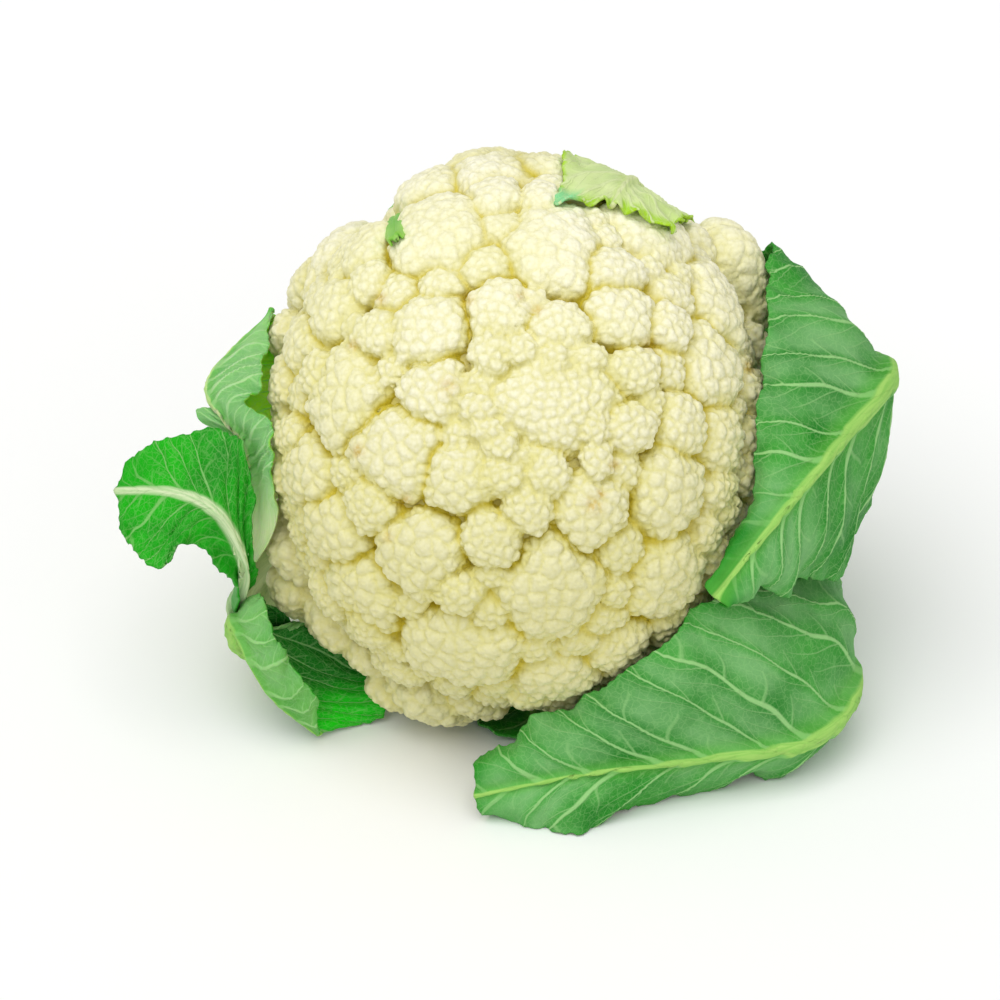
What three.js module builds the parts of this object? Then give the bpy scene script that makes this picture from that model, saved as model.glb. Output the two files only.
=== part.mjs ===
// A cauliflower as picked: a head of tight florets on a short cut stalk, with eight of its own leaves.
// It lies on its lowest leaf, tipped back so that the face of the head looks forwards and up.
//
// Millimetres, +Z up. Everything is drawn in the head's own frame, and one group then tips that frame over.
// In the head's frame +X is right and +Y up across the face, +Z points out of the face, and the origin is
// the middle of the head. The stalk runs along -Z.

import * as THREE from "three";
import { mergeVertices } from "three/addons/utils/BufferGeometryUtils.js";

// ---- Driving dimensions ----

const HEAD_HALF_WIDTH = 80;
const HEAD_HALF_HEIGHT = 89;
const HEAD_FRONT_DEPTH = 72;
const HEAD_TIP_DEG = 55;
const HEAD_MIDDLE_HEIGHT = 91;

const CORE_SHARE = 0.84; // the solid core's size against the head's
const CORE_BACK_DEPTH = 64;
const UNDERSIDE_Z = -60; // the head is cut flat here, where the stalk begins

const STALK_RADIUS = 21.5;
const STALK_CUT_Z = -93;
const JOINT_GAP = 0.4;

const BLADE_THICKNESS = 1.2;
const LEAF_CLEARANCE = 2.6; // between a blade's middle and the florets it lies on
const GOLDEN_ANGLE = Math.PI * (3 - Math.sqrt(5));

const CREAM = 0xf3efcb;
const STALK_GREEN = 0xdde6b8;
const LEAF_GREEN = 0x3f9a3c;
const PALE_LEAF_GREEN = 0xa9cf72;

// ---- Small helpers ----

// A repeatable number from 0 to 1 for each whole number.
function draw(n) {
  const x = Math.sin(n * 127.1 + 311.7) * 43758.5453;
  return x - Math.floor(x);
}

function point([x, y, z]) {
  return new THREE.Vector3(x, y, z);
}

function line(points) {
  return new THREE.CatmullRomCurve3(points.map(point), false, "catmullrom", 0.5);
}

function mesh(name, geometry, color, roughness) {
  const material = new THREE.MeshStandardMaterial({ color, roughness, metalness: 0 });
  const made = new THREE.Mesh(geometry, material);
  made.name = name;
  return made;
}

// ---- The head ----

// The florets on the face: how far each bump's middle lies right of and above the head's middle, and its radius.
const FACE_FLORETS = [
  // Along the top
  [-24, 71, 11], [-10, 76.5, 13], [4.5, 76, 11.5], [7, 69.5, 6], [-7, 69, 8],
  [-21.5, 54.5, 15.5], [10, 50, 15.5], [26.5, 46, 9], [35.5, 55.5, 14], [54, 57, 8],
  [64.5, 51, 13], [72.5, 40, 7], [72.5, 27.5, 6.5],
  // Upper left
  [-52.5, 50, 13], [-62.5, 45, 9], [-43.5, 52.5, 9.5], [-44.5, 44.5, 6.5], [-52.5, 35.5, 10.5],
  [-71, 30.5, 7], [-62.5, 26, 9], [-68.5, 15, 8.5], [-60, 17, 6], [-41.5, 29, 7],
  [-25.5, 28, 11.5], [-47, 9.5, 14.5], [-24.5, 11.5, 9.5],
  // Round the middle
  [-5.5, 34, 9.5], [12, 30, 8], [28.5, 33.5, 10.5], [-8, 23.5, 6.5], [0.5, 24, 4.5],
  [20.5, 21, 5], [11, 20.5, 5], [33.5, 17.5, 7.5], [32.5, 1, 7.5], [23, -9, 5],
  [22.5, 1, 4.5], [8.5, -13, 6.5], [-12, 6.5, 5], [-9.5, 0, 4.5], [-5.5, -4.5, 4.5],
  [-5.5, -13.5, 6], [-16.5, -13.5, 10.5], [3, -23, 7], [20.5, -23, 10.5], [-8, -31.5, 8.5],
  // Right
  [53.5, 36, 14.5], [44.5, 30.5, 7], [53.5, 17, 13], [47, 1, 9], [57.5, -1.5, 10],
  [69, 10.5, 8.5], [69, -2, 7.5], [41.5, -17, 13], [59.5, -18, 6.5], [68.5, -13, 6],
  [56, -30.5, 6], [62, -23.5, 5.5], [59.5, -36.5, 5.5], [40.5, -40.5, 14.5], [44.5, -57, 7],
  // Left
  [-33.5, -6.5, 14], [-59.5, -11.5, 12], [-67, -2, 7.5], [-71, -12, 6.5], [-43, -22, 8],
  [-52, -28, 11.5], [-43, -45.5, 13], [-67, -33.5, 12], [-69, -47.5, 9], [-55.5, -48.5, 8],
  [-57, -58, 9], [-44, -56, 8.5], [-47, -68, 7],
  // Along the bottom
  [-26.5, -35, 13.5], [9, -44, 15.5], [-15, -59, 16.5], [-18, -47.5, 7], [-25.5, -77, 13.5],
  [-12, -80.5, 9], [-38.5, -79.5, 7.5], [-35.5, -69.5, 8], [11, -69.5, 12], [29, -63, 10],
  [25, -77, 7], [13, -80, 7], [4, -80, 5.5],
];

// The tight small bumps round the growing tip, on a spiral.
const TIP = { x: 10.5, y: 8.5, count: 14, spacing: 3.6, radius: 4 };

// Rings of florets behind the rim: depth, share of the head's width, number and radius.
const BACK_RINGS = [
  { z: -15, share: 0.93, count: 21, radius: 10.5 },
  { z: -32, share: 0.84, count: 17, radius: 10.5 },
  { z: -46, share: 0.64, count: 12, radius: 9 },
];
const NOTCH_DEG = 121; // where the rim dips and a young leaf's tip shows
const NOTCH_HALF_WIDTH_DEG = 13;

// A face bump touches the head's outer shape from inside, so the larger ones sit deeper.
function faceBump(x, y, radius) {
  const across = (x / (HEAD_HALF_WIDTH - radius)) ** 2 + (y / (HEAD_HALF_HEIGHT - radius)) ** 2;
  const depth = HEAD_FRONT_DEPTH - radius;
  const z = across < 1 ? depth * Math.sqrt(1 - across) : -depth * Math.min(0.25, across - 1);
  return { middle: new THREE.Vector3(x, y, z), radius };
}

function tipBumps() {
  return Array.from({ length: TIP.count }, (_, i) => {
    const reach = TIP.spacing * Math.sqrt(i);
    const angle = i * GOLDEN_ANGLE;
    return faceBump(TIP.x + reach * Math.cos(angle), TIP.y + reach * Math.sin(angle), TIP.radius);
  });
}

function backBumps() {
  return BACK_RINGS.flatMap(({ z, share, count, radius }, ring) =>
    Array.from({ length: count }, (_, i) => {
      const angle = (2 * Math.PI * (i + ring / 2)) / count;
      const offNotch = Math.abs(THREE.MathUtils.radToDeg(angle) - NOTCH_DEG);
      const size = radius * (0.9 + 0.25 * draw(100 * ring + i)) * (offNotch < NOTCH_HALF_WIDTH_DEG ? 0.7 : 1);
      const x = (share * HEAD_HALF_WIDTH - size) * Math.cos(angle);
      const y = (share * HEAD_HALF_HEIGHT - size) * Math.sin(angle);
      return { middle: new THREE.Vector3(x, y, z), radius: size };
    }),
  );
}

// Each large bump carries smaller knobs on a spiral over its outer side.
const KNOBS = { least: 8, count: 9, share: 0.42, spread: 0.75 };

function knobsOn({ middle, radius }, seed) {
  if (radius < KNOBS.least) return [];
  const outward = middle.clone().normalize();
  const turn = new THREE.Quaternion().setFromUnitVectors(new THREE.Vector3(0, 0, 1), outward);
  return Array.from({ length: KNOBS.count }, (_, i) => {
    const rise = 1 - KNOBS.spread * ((i + 0.5) / KNOBS.count);
    const angle = i * GOLDEN_ANGLE + seed;
    const flat = Math.sqrt(1 - rise * rise);
    const way = new THREE.Vector3(flat * Math.cos(angle), flat * Math.sin(angle), rise).applyQuaternion(turn);
    const size = radius * KNOBS.share * (0.85 + 0.3 * draw(seed * 31 + i));
    return { middle: middle.clone().addScaledVector(way, radius - 0.62 * size), radius: size };
  });
}

const MAIN_BUMPS = [...FACE_FLORETS.map(([x, y, radius]) => faceBump(x, y, radius)), ...tipBumps(), ...backBumps()];
const ALL_BUMPS = [...MAIN_BUMPS, ...MAIN_BUMPS.flatMap(knobsOn)];

// How far the core reaches from the head's middle along a unit vector.
function coreReach(way) {
  const depth = way.z > 0 ? HEAD_FRONT_DEPTH * CORE_SHARE : CORE_BACK_DEPTH;
  const across = (way.x / HEAD_HALF_WIDTH) ** 2 + (way.y / HEAD_HALF_HEIGHT) ** 2;
  return 1 / Math.sqrt(across / CORE_SHARE ** 2 + (way.z / depth) ** 2);
}

// How far the core and bumps reach along a unit vector, with each bump swollen by some millimetres.
function headReach(way, bumps, swell = 0) {
  let far = coreReach(way) + swell;
  for (const { middle, radius } of bumps) {
    const along = middle.dot(way);
    const off = middle.lengthSq() - along * along;
    const size = (radius + swell) ** 2;
    if (along > 0 && off < size) far = Math.max(far, along + Math.sqrt(size - off));
  }
  return far;
}

const HEAD_DETAIL = 18;

function headGeometry() {
  const ball = new THREE.IcosahedronGeometry(1, HEAD_DETAIL);
  ball.deleteAttribute("normal");
  ball.deleteAttribute("uv");
  const made = mergeVertices(ball, 1e-5);
  const places = made.getAttribute("position");
  const way = new THREE.Vector3();
  for (let i = 0; i < places.count; i++) {
    way.fromBufferAttribute(places, i).normalize();
    let reach = headReach(way, ALL_BUMPS);
    if (way.z * reach < UNDERSIDE_Z) reach = UNDERSIDE_Z / way.z;
    const fall = -way.dot(UP);
    if (fall * reach > HEAD_MIDDLE_HEIGHT) reach = HEAD_MIDDLE_HEIGHT / fall;
    places.setXYZ(i, way.x * reach, way.y * reach, way.z * reach);
  }
  return made;
}

// ---- The stalk ----

function stalkGeometry() {
  const top = UNDERSIDE_Z - JOINT_GAP;
  const profile = [
    [0, STALK_CUT_Z], [STALK_RADIUS - 3, STALK_CUT_Z], [STALK_RADIUS - 1.5, STALK_CUT_Z + 1.5],
    [STALK_RADIUS, STALK_CUT_Z + 9], [STALK_RADIUS, top - 4], [STALK_RADIUS - 1, top], [0, top],
  ];
  const turned = new THREE.LatheGeometry(profile.map(([radius, z]) => new THREE.Vector2(radius, z)), 28);
  return turned.rotateX(Math.PI / 2);
}

// ---- The leaves ----

// A leaf follows three lines from the stalk to its tip: its rib, and the margins after and before it as one
// goes round the stalk anticlockwise, seen from the front. deg and from say where its foot meets the stalk.
// ribWidth and ribDepth are the petiole's there. wave is how far the margins swing, and waves how often.
// belly is how far each half of the blade swells between rib and margin.
const LEAVES = [
  {
    name: "leaf_right",
    deg: 8,
    from: -83,
    rib: [[58, 11, -74], [97, 20, -42], [115.5, 19, -4], [97, -4, 28], [78, -27, 40], [59.5, -51, 37]],
    after: [[54, 27, -76], [76, 56, -44], [79, 54, -4], [75, 20, 24], [71, -19, 36], [57.5, -49, 35]],
    before: [[56, -6, -76], [94, -16, -50], [109, -12, -24], [101, -41, -2], [83, -48, 22], [61, -53, 35]],
    ribWidth: 17,
    ribDepth: 6.5,
    wave: 2.2,
    waves: 7,
    belly: [4, 5],
    rows: 26,
  },
  {
    name: "leaf_lower_right",
    deg: -38,
    from: -71,
    rib: [[48, -38, -67], [84, -58, -48], [104, -76, -14], [91, -94, 6], [58, -99.5, 16], [20, -105, 21], [-15, -112, 19]],
    after: [[60, -22, -66], [94, -34, -46], [98, -44, -18], [72, -44, 16], [46, -60, 34], [12, -83, 22], [-12, -101, 16]],
    before: [[36, -51, -68], [68, -76, -42], [90, -97, -20], [82, -106, -5], [50, -112, 3], [15, -124, 18.5], [-9, -117, 9]],
    ribWidth: 17,
    ribDepth: 6.5,
    wave: 1.8,
    waves: 7,
    belly: [6, 3],
    rows: 30,
  },
  {
    name: "leaf_under",
    deg: -84,
    from: -83,
    rib: [[2, -40, -79], [3, -60, -68], [4, -76, -48], [5, -88, -30], [5, -97, -14]],
    after: [[14, -38, -79], [22, -59, -68], [27, -75, -47], [27, -87, -29], [17, -94, -14]],
    before: [[-10, -39, -79], [-16, -59, -68], [-20, -75, -47], [-18, -87, -29], [-6, -95, -14]],
    ribWidth: 17,
    ribDepth: 6,
    wave: 0.6,
    waves: 5,
    belly: [1, 1],
    rows: 18,
  },
  {
    name: "leaf_lower_left",
    deg: -124,
    from: -71,
    rib: [[-38, -50, -67], [-66, -70, -44], [-85, -72, -18], [-86, -68, -6], [-76, -83, -9], [-61, -96, -19]],
    after: [[-28, -56, -69], [-50, -74, -50], [-62, -80, -38], [-50, -73, -36], [-45, -77, -30], [-41.5, -90, -25]],
    before: [[-46, -42, -66], [-62, -62, -46], [-68, -63, -26], [-78, -53, -2], [-74, -68, 2], [-62, -84.5, -6]],
    ribWidth: 16,
    ribDepth: 6,
    wave: 1.6,
    waves: 5,
    belly: [3, 3],
    rows: 22,
  },
  {
    name: "leaf_left",
    deg: -158,
    from: -83,
    rib: [[-52, -28, -77], [-80, -46, -57], [-86, -57, -33], [-86, -54, -9], [-84, -42, 9], [-92.5, -25, 20], [-107, -18.5, 18], [-127, -18, 8]],
    after: [[-47, -37, -78], [-73, -54, -60], [-78, -62, -38], [-88, -58, -12], [-88, -49, 6], [-101, -34, 18], [-113, -42, 20], [-124.5, -29, 12]],
    before: [[-55, -18, -78], [-84, -38, -55], [-89, -50, -28], [-82, -46, -4], [-81, -30, 14], [-84, -3, 19], [-104, 0, 11], [-124, -10, 4]],
    ribWidth: 16,
    ribDepth: 6,
    wave: 1.8,
    waves: 6,
    belly: [3, 2],
    rows: 28,
  },
  {
    name: "leaf_upper_left",
    deg: 176,
    from: -71,
    rib: [[-52, 4, -66], [-80, -18, -44], [-85, -36, -18], [-81.5, -30, 0], [-81, -10, 8], [-84, -1, 12], [-91, 6, 11], [-95.3, 15, 6], [-87, 27, -2], [-75.5, 38, -6]],
    after: [[-53, -5, -68], [-80, -27, -48], [-85, -43, -13], [-80.5, -31, 6], [-80, -10, 13], [-81, 2, 18], [-83.5, 9, 20], [-80, 14, 19], [-78, 26, 8], [-75.3, 38, -5]],
    before: [[-50, 13, -66], [-79, -9, -44], [-86, -29, -24], [-82.5, -29, -6], [-82, -12, 2], [-92, -2, 6], [-99.5, 7, 4], [-84, 6, -2], [-74, 22, 2], [-74.5, 37, -6]],
    ribWidth: 15,
    ribDepth: 5.5,
    wave: 1.2,
    waves: 6,
    belly: [2, 1],
    rows: 34,
  },
  {
    name: "leaf_back_left",
    deg: 115,
    from: -83,
    rib: [[-22, 46, -77], [-31, 60, -54], [-34, 65, -26], [-37, 66, 6], [-37, 62, 40]],
    after: [[-36, 40, -77], [-48, 50, -54], [-44, 58, -27], [-40, 63, 6], [-38.5, 61, 39]],
    before: [[-8, 50, -77], [-14, 67, -54], [-24, 71, -27], [-34, 68, 6], [-35.5, 62, 40]],
    ribWidth: 16,
    ribDepth: 6,
    wave: 1.2,
    waves: 5,
    belly: [2, 2],
    rows: 18,
  },
  {
    name: "leaf_top",
    deg: 62,
    from: -71,
    rib: [[22, 44, -66], [33, 68, -46], [38, 74, -20], [33, 75, 4], [27, 66, 34]],
    after: [[10, 50, -66], [18, 74, -46], [20, 84, -18], [15, 84, 8], [12.5, 70, 42]],
    before: [[34, 36, -68], [52, 54, -46], [54, 62, -20], [47, 63, 8], [44, 60, 38]],
    ribWidth: 16,
    ribDepth: 5.5,
    wave: 1.2,
    waves: 6,
    belly: [2, 1.5],
    rows: 20,
    color: PALE_LEAF_GREEN,
  },
];

const COLUMNS = 4; // from the rib's middle to a margin
const MARGIN_TOOTH = 0.9;

// The rib narrows and thins towards the tip.
function ribSize(leaf, share) {
  const left = 1 - share;
  return {
    half: (leaf.ribWidth / 2) * (0.12 + 0.88 * left ** 1.4),
    depth: leaf.ribDepth * (0.12 + 0.88 * left ** 1.2),
  };
}

const TIP_ANGLE = THREE.MathUtils.degToRad(HEAD_TIP_DEG);
const UP = new THREE.Vector3(0, Math.sin(TIP_ANGLE), Math.cos(TIP_ANGLE));

// How far a point of the head's frame is above the surface that the head lies on.
function heightOf(place) {
  return HEAD_MIDDLE_HEIGHT + place.dot(UP);
}

// Pushes a point of a blade out to where it lies on the florets.
function layOnHead(place) {
  const reach = place.length();
  const way = place.clone().divideScalar(reach);
  const least = headReach(way, ALL_BUMPS, LEAF_CLEARANCE);
  return reach < least ? way.multiplyScalar(least) : place;
}

// Where the petiole's middle and edges meet the stalk: a straight line that just clears its side.
function leafFoot({ deg, from, ribWidth }) {
  const angle = THREE.MathUtils.degToRad(deg);
  const reach = STALK_RADIUS + JOINT_GAP + BLADE_THICKNESS / 2;
  const at = (side) => [
    reach * Math.cos(angle) - side * Math.sin(angle),
    reach * Math.sin(angle) + side * Math.cos(angle),
    from,
  ];
  return { middle: at(0), after: at(ribWidth / 2), before: at(-ribWidth / 2) };
}

// The middle surface of a leaf, as rows of points from one margin over the rib to the other.
function bladeRows(leaf) {
  const foot = leafFoot(leaf);
  const rib = line([foot.middle, ...leaf.rib]);
  const sides = [line([foot.after, ...leaf.after]), line([foot.before, ...leaf.before])];
  return Array.from({ length: leaf.rows + 1 }, (_, i) => {
    const share = i / leaf.rows;
    const middle = rib.getPoint(share);
    const { half } = ribSize(leaf, share);
    const row = [];
    for (let j = -COLUMNS; j <= COLUMNS; j++) {
      const side = j < 0 ? 0 : 1;
      const margin = sides[side].getPoint(share);
      const width = margin.distanceTo(middle);
      const shoulder = Math.min(0.9, half / width);
      const k = Math.abs(j);
      const out = k === 0 ? 0 : shoulder + ((1 - shoulder) * (k - 1)) / (COLUMNS - 1);
      const tooth = k === COLUMNS && i % 2 === 1 && share > 0.3 ? MARGIN_TOOTH / width : 0;
      row.push({ place: middle.clone().lerp(margin, out - tooth), out, side, k });
    }
    return row;
  });
}

function normalAt(rows, i, j) {
  const at = (a, b) =>
    rows[THREE.MathUtils.clamp(a, 0, rows.length - 1)][THREE.MathUtils.clamp(b, 0, 2 * COLUMNS)].place;
  const along = at(i + 1, j).clone().sub(at(i - 1, j));
  const across = at(i, j + 1).clone().sub(at(i, j - 1));
  return along.cross(across).normalize();
}

function leafGeometry(leaf) {
  const rows = bladeRows(leaf);
  const last = rows.length - 1;
  // The underside of a leaf looks away from the head at the stalk.
  const early = rows[2][COLUMNS].place;
  const turn = Math.sign(normalAt(rows, 2, COLUMNS).dot(early)) || 1;
  const normals = rows.map((row, i) => row.map((_, j) => normalAt(rows, i, j).multiplyScalar(turn)));
  const upper = [];
  const under = [];
  rows.forEach((row, i) => {
    const share = i / last;
    const { depth } = ribSize(leaf, share);
    row.forEach(({ place, out, side, k }, j) => {
      const normal = normals[i][j];
      const swing = leaf.wave * out * out * Math.min(1, 3 * Math.max(0, share - 0.25));
      const wave = swing * Math.sin(2 * Math.PI * leaf.waves * share + 2 * side);
      const swell = leaf.belly[side] * Math.sin(Math.PI * out) * Math.min(1, 2 * share);
      const middle = layOnHead(place.clone().addScaledVector(normal, wave + swell));
      const rise = k === 0 ? 1 : k === 1 ? 0.35 : 0;
      const top = middle.clone().addScaledVector(normal, -BLADE_THICKNESS / 2);
      const bottom = middle.clone().addScaledVector(normal, BLADE_THICKNESS / 2 + rise * depth);
      const lift = Math.max(0, -heightOf(top), -heightOf(bottom));
      upper.push(top.addScaledVector(UP, lift));
      under.push(bottom.addScaledVector(UP, lift));
    });
  });
  return closedSheet(upper, under, rows.length, 2 * COLUMNS + 1, turn);
}

// Joins two grids of points into one closed solid. Both faces are split along the same diagonals.
function closedSheet(upper, under, rows, columns, turn) {
  const positions = [...upper, ...under].flatMap((p) => p.toArray());
  const faces = [];
  const quad = (a, b, c, d) => faces.push([a, b, c], [a, c, d]);
  const base = upper.length;
  const at = (i, j) => i * columns + j;
  for (let i = 0; i < rows - 1; i++)
    for (let j = 0; j < columns - 1; j++) {
      const [a, b, c, d] = [at(i, j), at(i + 1, j), at(i + 1, j + 1), at(i, j + 1)];
      faces.push([base + a, base + b, base + c], [base + a, base + c, base + d]);
      faces.push([a, c, b], [a, d, c]);
    }
  for (let i = 0; i < rows - 1; i++) {
    const [a, b] = [at(i, 0), at(i + 1, 0)];
    quad(a, b, base + b, base + a);
    const [c, d] = [at(i, columns - 1), at(i + 1, columns - 1)];
    quad(d, c, base + c, base + d);
  }
  for (let j = 0; j < columns - 1; j++) {
    const [a, b] = [at(0, j), at(0, j + 1)];
    quad(b, a, base + a, base + b);
    const [c, d] = [at(rows - 1, j), at(rows - 1, j + 1)];
    quad(c, d, base + d, base + c);
  }
  const index = faces.flatMap((face) => (turn > 0 ? face : face.slice().reverse()));
  const made = new THREE.BufferGeometry();
  made.setAttribute("position", new THREE.Float32BufferAttribute(positions, 3));
  made.setIndex(index);
  return made;
}

// ---- The whole vegetable ----

const head = new THREE.Group();
head.rotation.x = THREE.MathUtils.degToRad(HEAD_TIP_DEG);
head.position.z = HEAD_MIDDLE_HEIGHT;
head.add(mesh("curd", headGeometry(), CREAM, 0.75));
head.add(mesh("stalk", stalkGeometry(), STALK_GREEN, 0.6));
for (const leaf of LEAVES) head.add(mesh(leaf.name, leafGeometry(leaf), leaf.color ?? LEAF_GREEN, 0.55));

// The origin is under the middle of the whole vegetable, on the surface it lies on.
const cauliflower = new THREE.Group();
cauliflower.add(head);
cauliflower.updateMatrixWorld(true);
const room = new THREE.Box3().setFromObject(cauliflower, true);
head.position.x -= (room.min.x + room.max.x) / 2;
head.position.y -= (room.min.y + room.max.y) / 2;
head.position.z -= room.min.z;

export default cauliflower;
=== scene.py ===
import functools
import math

import bmesh
import bpy
import numpy as np
from bpy.props import FloatProperty, FloatVectorProperty, IntProperty, PointerProperty
from mathutils import Matrix, Vector, kdtree


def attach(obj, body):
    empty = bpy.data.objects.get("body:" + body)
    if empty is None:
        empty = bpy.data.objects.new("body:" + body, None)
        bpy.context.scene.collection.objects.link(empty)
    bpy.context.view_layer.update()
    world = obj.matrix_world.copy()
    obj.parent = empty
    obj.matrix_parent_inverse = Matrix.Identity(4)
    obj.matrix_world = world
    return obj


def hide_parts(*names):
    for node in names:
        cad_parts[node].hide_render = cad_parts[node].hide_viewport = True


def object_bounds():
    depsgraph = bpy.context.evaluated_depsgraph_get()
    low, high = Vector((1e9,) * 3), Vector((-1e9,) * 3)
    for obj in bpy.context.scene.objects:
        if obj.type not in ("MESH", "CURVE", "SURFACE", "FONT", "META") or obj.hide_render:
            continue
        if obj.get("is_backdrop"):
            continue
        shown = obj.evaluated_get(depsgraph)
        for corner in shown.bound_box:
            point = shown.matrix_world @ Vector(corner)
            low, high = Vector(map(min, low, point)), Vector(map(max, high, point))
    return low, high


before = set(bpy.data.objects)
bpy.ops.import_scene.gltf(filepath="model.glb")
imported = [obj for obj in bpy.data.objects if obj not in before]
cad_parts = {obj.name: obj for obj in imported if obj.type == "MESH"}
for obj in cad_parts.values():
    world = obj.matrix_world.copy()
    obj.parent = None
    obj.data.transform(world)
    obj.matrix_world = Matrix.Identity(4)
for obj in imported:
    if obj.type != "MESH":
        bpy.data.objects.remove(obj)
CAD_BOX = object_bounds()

bl_info = {
    "name": "Cauliflower",
    "version": (1, 0, 0),
    "blender": (4, 5, 0),
    "location": "View3D > Sidebar > Cauliflower",
    "description": "Grows the florets, the stalk and the veined leaves of a cauliflower over its frame",
    "category": "Add Mesh",
}

# Shapes are worked out in the head's own frame, in millimetres: +X right and +Y up across the face,
# +Z out of the face, with the stalk along -Z. The finished meshes are in the row's frame, in metres.

MM = 0.001
BODY = "root"
HEAD_TIP = math.radians(55)
HEAD_TURN = np.array(Matrix.Rotation(HEAD_TIP, 3, "X"))
GOLDEN_ANGLE = math.pi * (3 - math.sqrt(5))

HEAD_HALF_WIDTH = 80
HEAD_HALF_HEIGHT = 89
HEAD_FRONT_DEPTH = 72
CORE_SHARE = 0.84
CORE_BACK_DEPTH = 64
UNDERSIDE_Z = -60

STALK_RADIUS = 21.5
STALK_CUT_Z = -93


# ---- The head's bumps, as in the frame ----

# The florets on the face: how far right of and above the head's middle each lies, and its radius.
FACE_FLORETS = (
    # Along the top
    (-24, 71, 11), (-10, 76.5, 13), (4.5, 76, 11.5), (7, 69.5, 6), (-7, 69, 8),
    (-21.5, 54.5, 15.5), (10, 50, 15.5), (26.5, 46, 9), (35.5, 55.5, 14), (54, 57, 8),
    (64.5, 51, 13), (72.5, 40, 7), (72.5, 27.5, 6.5),
    # Upper left
    (-52.5, 50, 13), (-62.5, 45, 9), (-43.5, 52.5, 9.5), (-44.5, 44.5, 6.5), (-52.5, 35.5, 10.5),
    (-71, 30.5, 7), (-62.5, 26, 9), (-68.5, 15, 8.5), (-60, 17, 6), (-41.5, 29, 7),
    (-25.5, 28, 11.5), (-47, 9.5, 14.5), (-24.5, 11.5, 9.5),
    # Round the middle
    (-5.5, 34, 9.5), (12, 30, 8), (28.5, 33.5, 10.5), (-8, 23.5, 6.5), (0.5, 24, 4.5),
    (20.5, 21, 5), (11, 20.5, 5), (33.5, 17.5, 7.5), (32.5, 1, 7.5), (23, -9, 5),
    (22.5, 1, 4.5), (8.5, -13, 6.5), (-12, 6.5, 5), (-9.5, 0, 4.5), (-5.5, -4.5, 4.5),
    (-5.5, -13.5, 6), (-16.5, -13.5, 10.5), (3, -23, 7), (20.5, -23, 10.5), (-8, -31.5, 8.5),
    # Right
    (53.5, 36, 14.5), (44.5, 30.5, 7), (53.5, 17, 13), (47, 1, 9), (57.5, -1.5, 10),
    (69, 10.5, 8.5), (69, -2, 7.5), (41.5, -17, 13), (59.5, -18, 6.5), (68.5, -13, 6),
    (56, -30.5, 6), (62, -23.5, 5.5), (59.5, -36.5, 5.5), (40.5, -40.5, 14.5), (44.5, -57, 7),
    # Left
    (-33.5, -6.5, 14), (-59.5, -11.5, 12), (-67, -2, 7.5), (-71, -12, 6.5), (-43, -22, 8),
    (-52, -28, 11.5), (-43, -45.5, 13), (-67, -33.5, 12), (-69, -47.5, 9), (-55.5, -48.5, 8),
    (-57, -58, 9), (-44, -56, 8.5), (-47, -68, 7),
    # Along the bottom
    (-26.5, -35, 13.5), (9, -44, 15.5), (-15, -59, 16.5), (-18, -47.5, 7), (-25.5, -77, 13.5),
    (-12, -80.5, 9), (-38.5, -79.5, 7.5), (-35.5, -69.5, 8), (11, -69.5, 12), (29, -63, 10),
    (25, -77, 7), (13, -80, 7), (4, -80, 5.5),
)
TIP_MIDDLE = (10.5, 8.5)
TIP_COUNT = 14
TIP_SPACING = 3.6
TIP_RADIUS = 4
BACK_RINGS = ((-15, 0.93, 21, 10.5), (-32, 0.84, 17, 10.5), (-46, 0.64, 12, 9))
NOTCH_DEG = 121
NOTCH_HALF_WIDTH_DEG = 13
KNOB_LEAST, KNOB_COUNT, KNOB_SHARE, KNOB_SPREAD = 8, 9, 0.42, 0.75


def draw(n):
    """A repeatable number from 0 to 1 for each whole number."""
    x = math.sin(n * 127.1 + 311.7) * 43758.5453
    return x - math.floor(x)


def face_bump(x, y, radius):
    across = (x / (HEAD_HALF_WIDTH - radius)) ** 2 + (y / (HEAD_HALF_HEIGHT - radius)) ** 2
    depth = HEAD_FRONT_DEPTH - radius
    z = depth * math.sqrt(1 - across) if across < 1 else -depth * min(0.25, across - 1)
    return (x, y, z, radius)


def tip_bumps():
    for i in range(TIP_COUNT):
        reach, angle = TIP_SPACING * math.sqrt(i), i * GOLDEN_ANGLE
        x, y = TIP_MIDDLE[0] + reach * math.cos(angle), TIP_MIDDLE[1] + reach * math.sin(angle)
        yield face_bump(x, y, TIP_RADIUS)


def back_bumps():
    for ring, (z, share, count, radius) in enumerate(BACK_RINGS):
        for i in range(count):
            angle = 2 * math.pi * (i + ring / 2) / count
            in_notch = abs(math.degrees(angle) - NOTCH_DEG) < NOTCH_HALF_WIDTH_DEG
            size = radius * (0.9 + 0.25 * draw(100 * ring + i)) * (0.7 if in_notch else 1)
            x = (share * HEAD_HALF_WIDTH - size) * math.cos(angle)
            y = (share * HEAD_HALF_HEIGHT - size) * math.sin(angle)
            yield (x, y, z, size)


def knobs_on(bump, seed):
    """The coarse knobs that the frame carries on its larger bumps."""
    middle, radius = Vector(bump[:3]), bump[3]
    if radius < KNOB_LEAST:
        return
    turn = Vector((0, 0, 1)).rotation_difference(middle.normalized())
    for i in range(KNOB_COUNT):
        rise = 1 - KNOB_SPREAD * (i + 0.5) / KNOB_COUNT
        angle = i * GOLDEN_ANGLE + seed
        flat = math.sqrt(1 - rise * rise)
        way = turn @ Vector((flat * math.cos(angle), flat * math.sin(angle), rise))
        size = radius * KNOB_SHARE * (0.85 + 0.3 * draw(seed * 31 + i))
        yield (*(middle + way * (radius - 0.62 * size)), size)


MAIN_BUMPS = np.array([*(face_bump(*f) for f in FACE_FLORETS), *tip_bumps(), *back_bumps()])
ALL_BUMPS = np.array([*MAIN_BUMPS, *(k for i, b in enumerate(MAIN_BUMPS) for k in knobs_on(b, i))])


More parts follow.
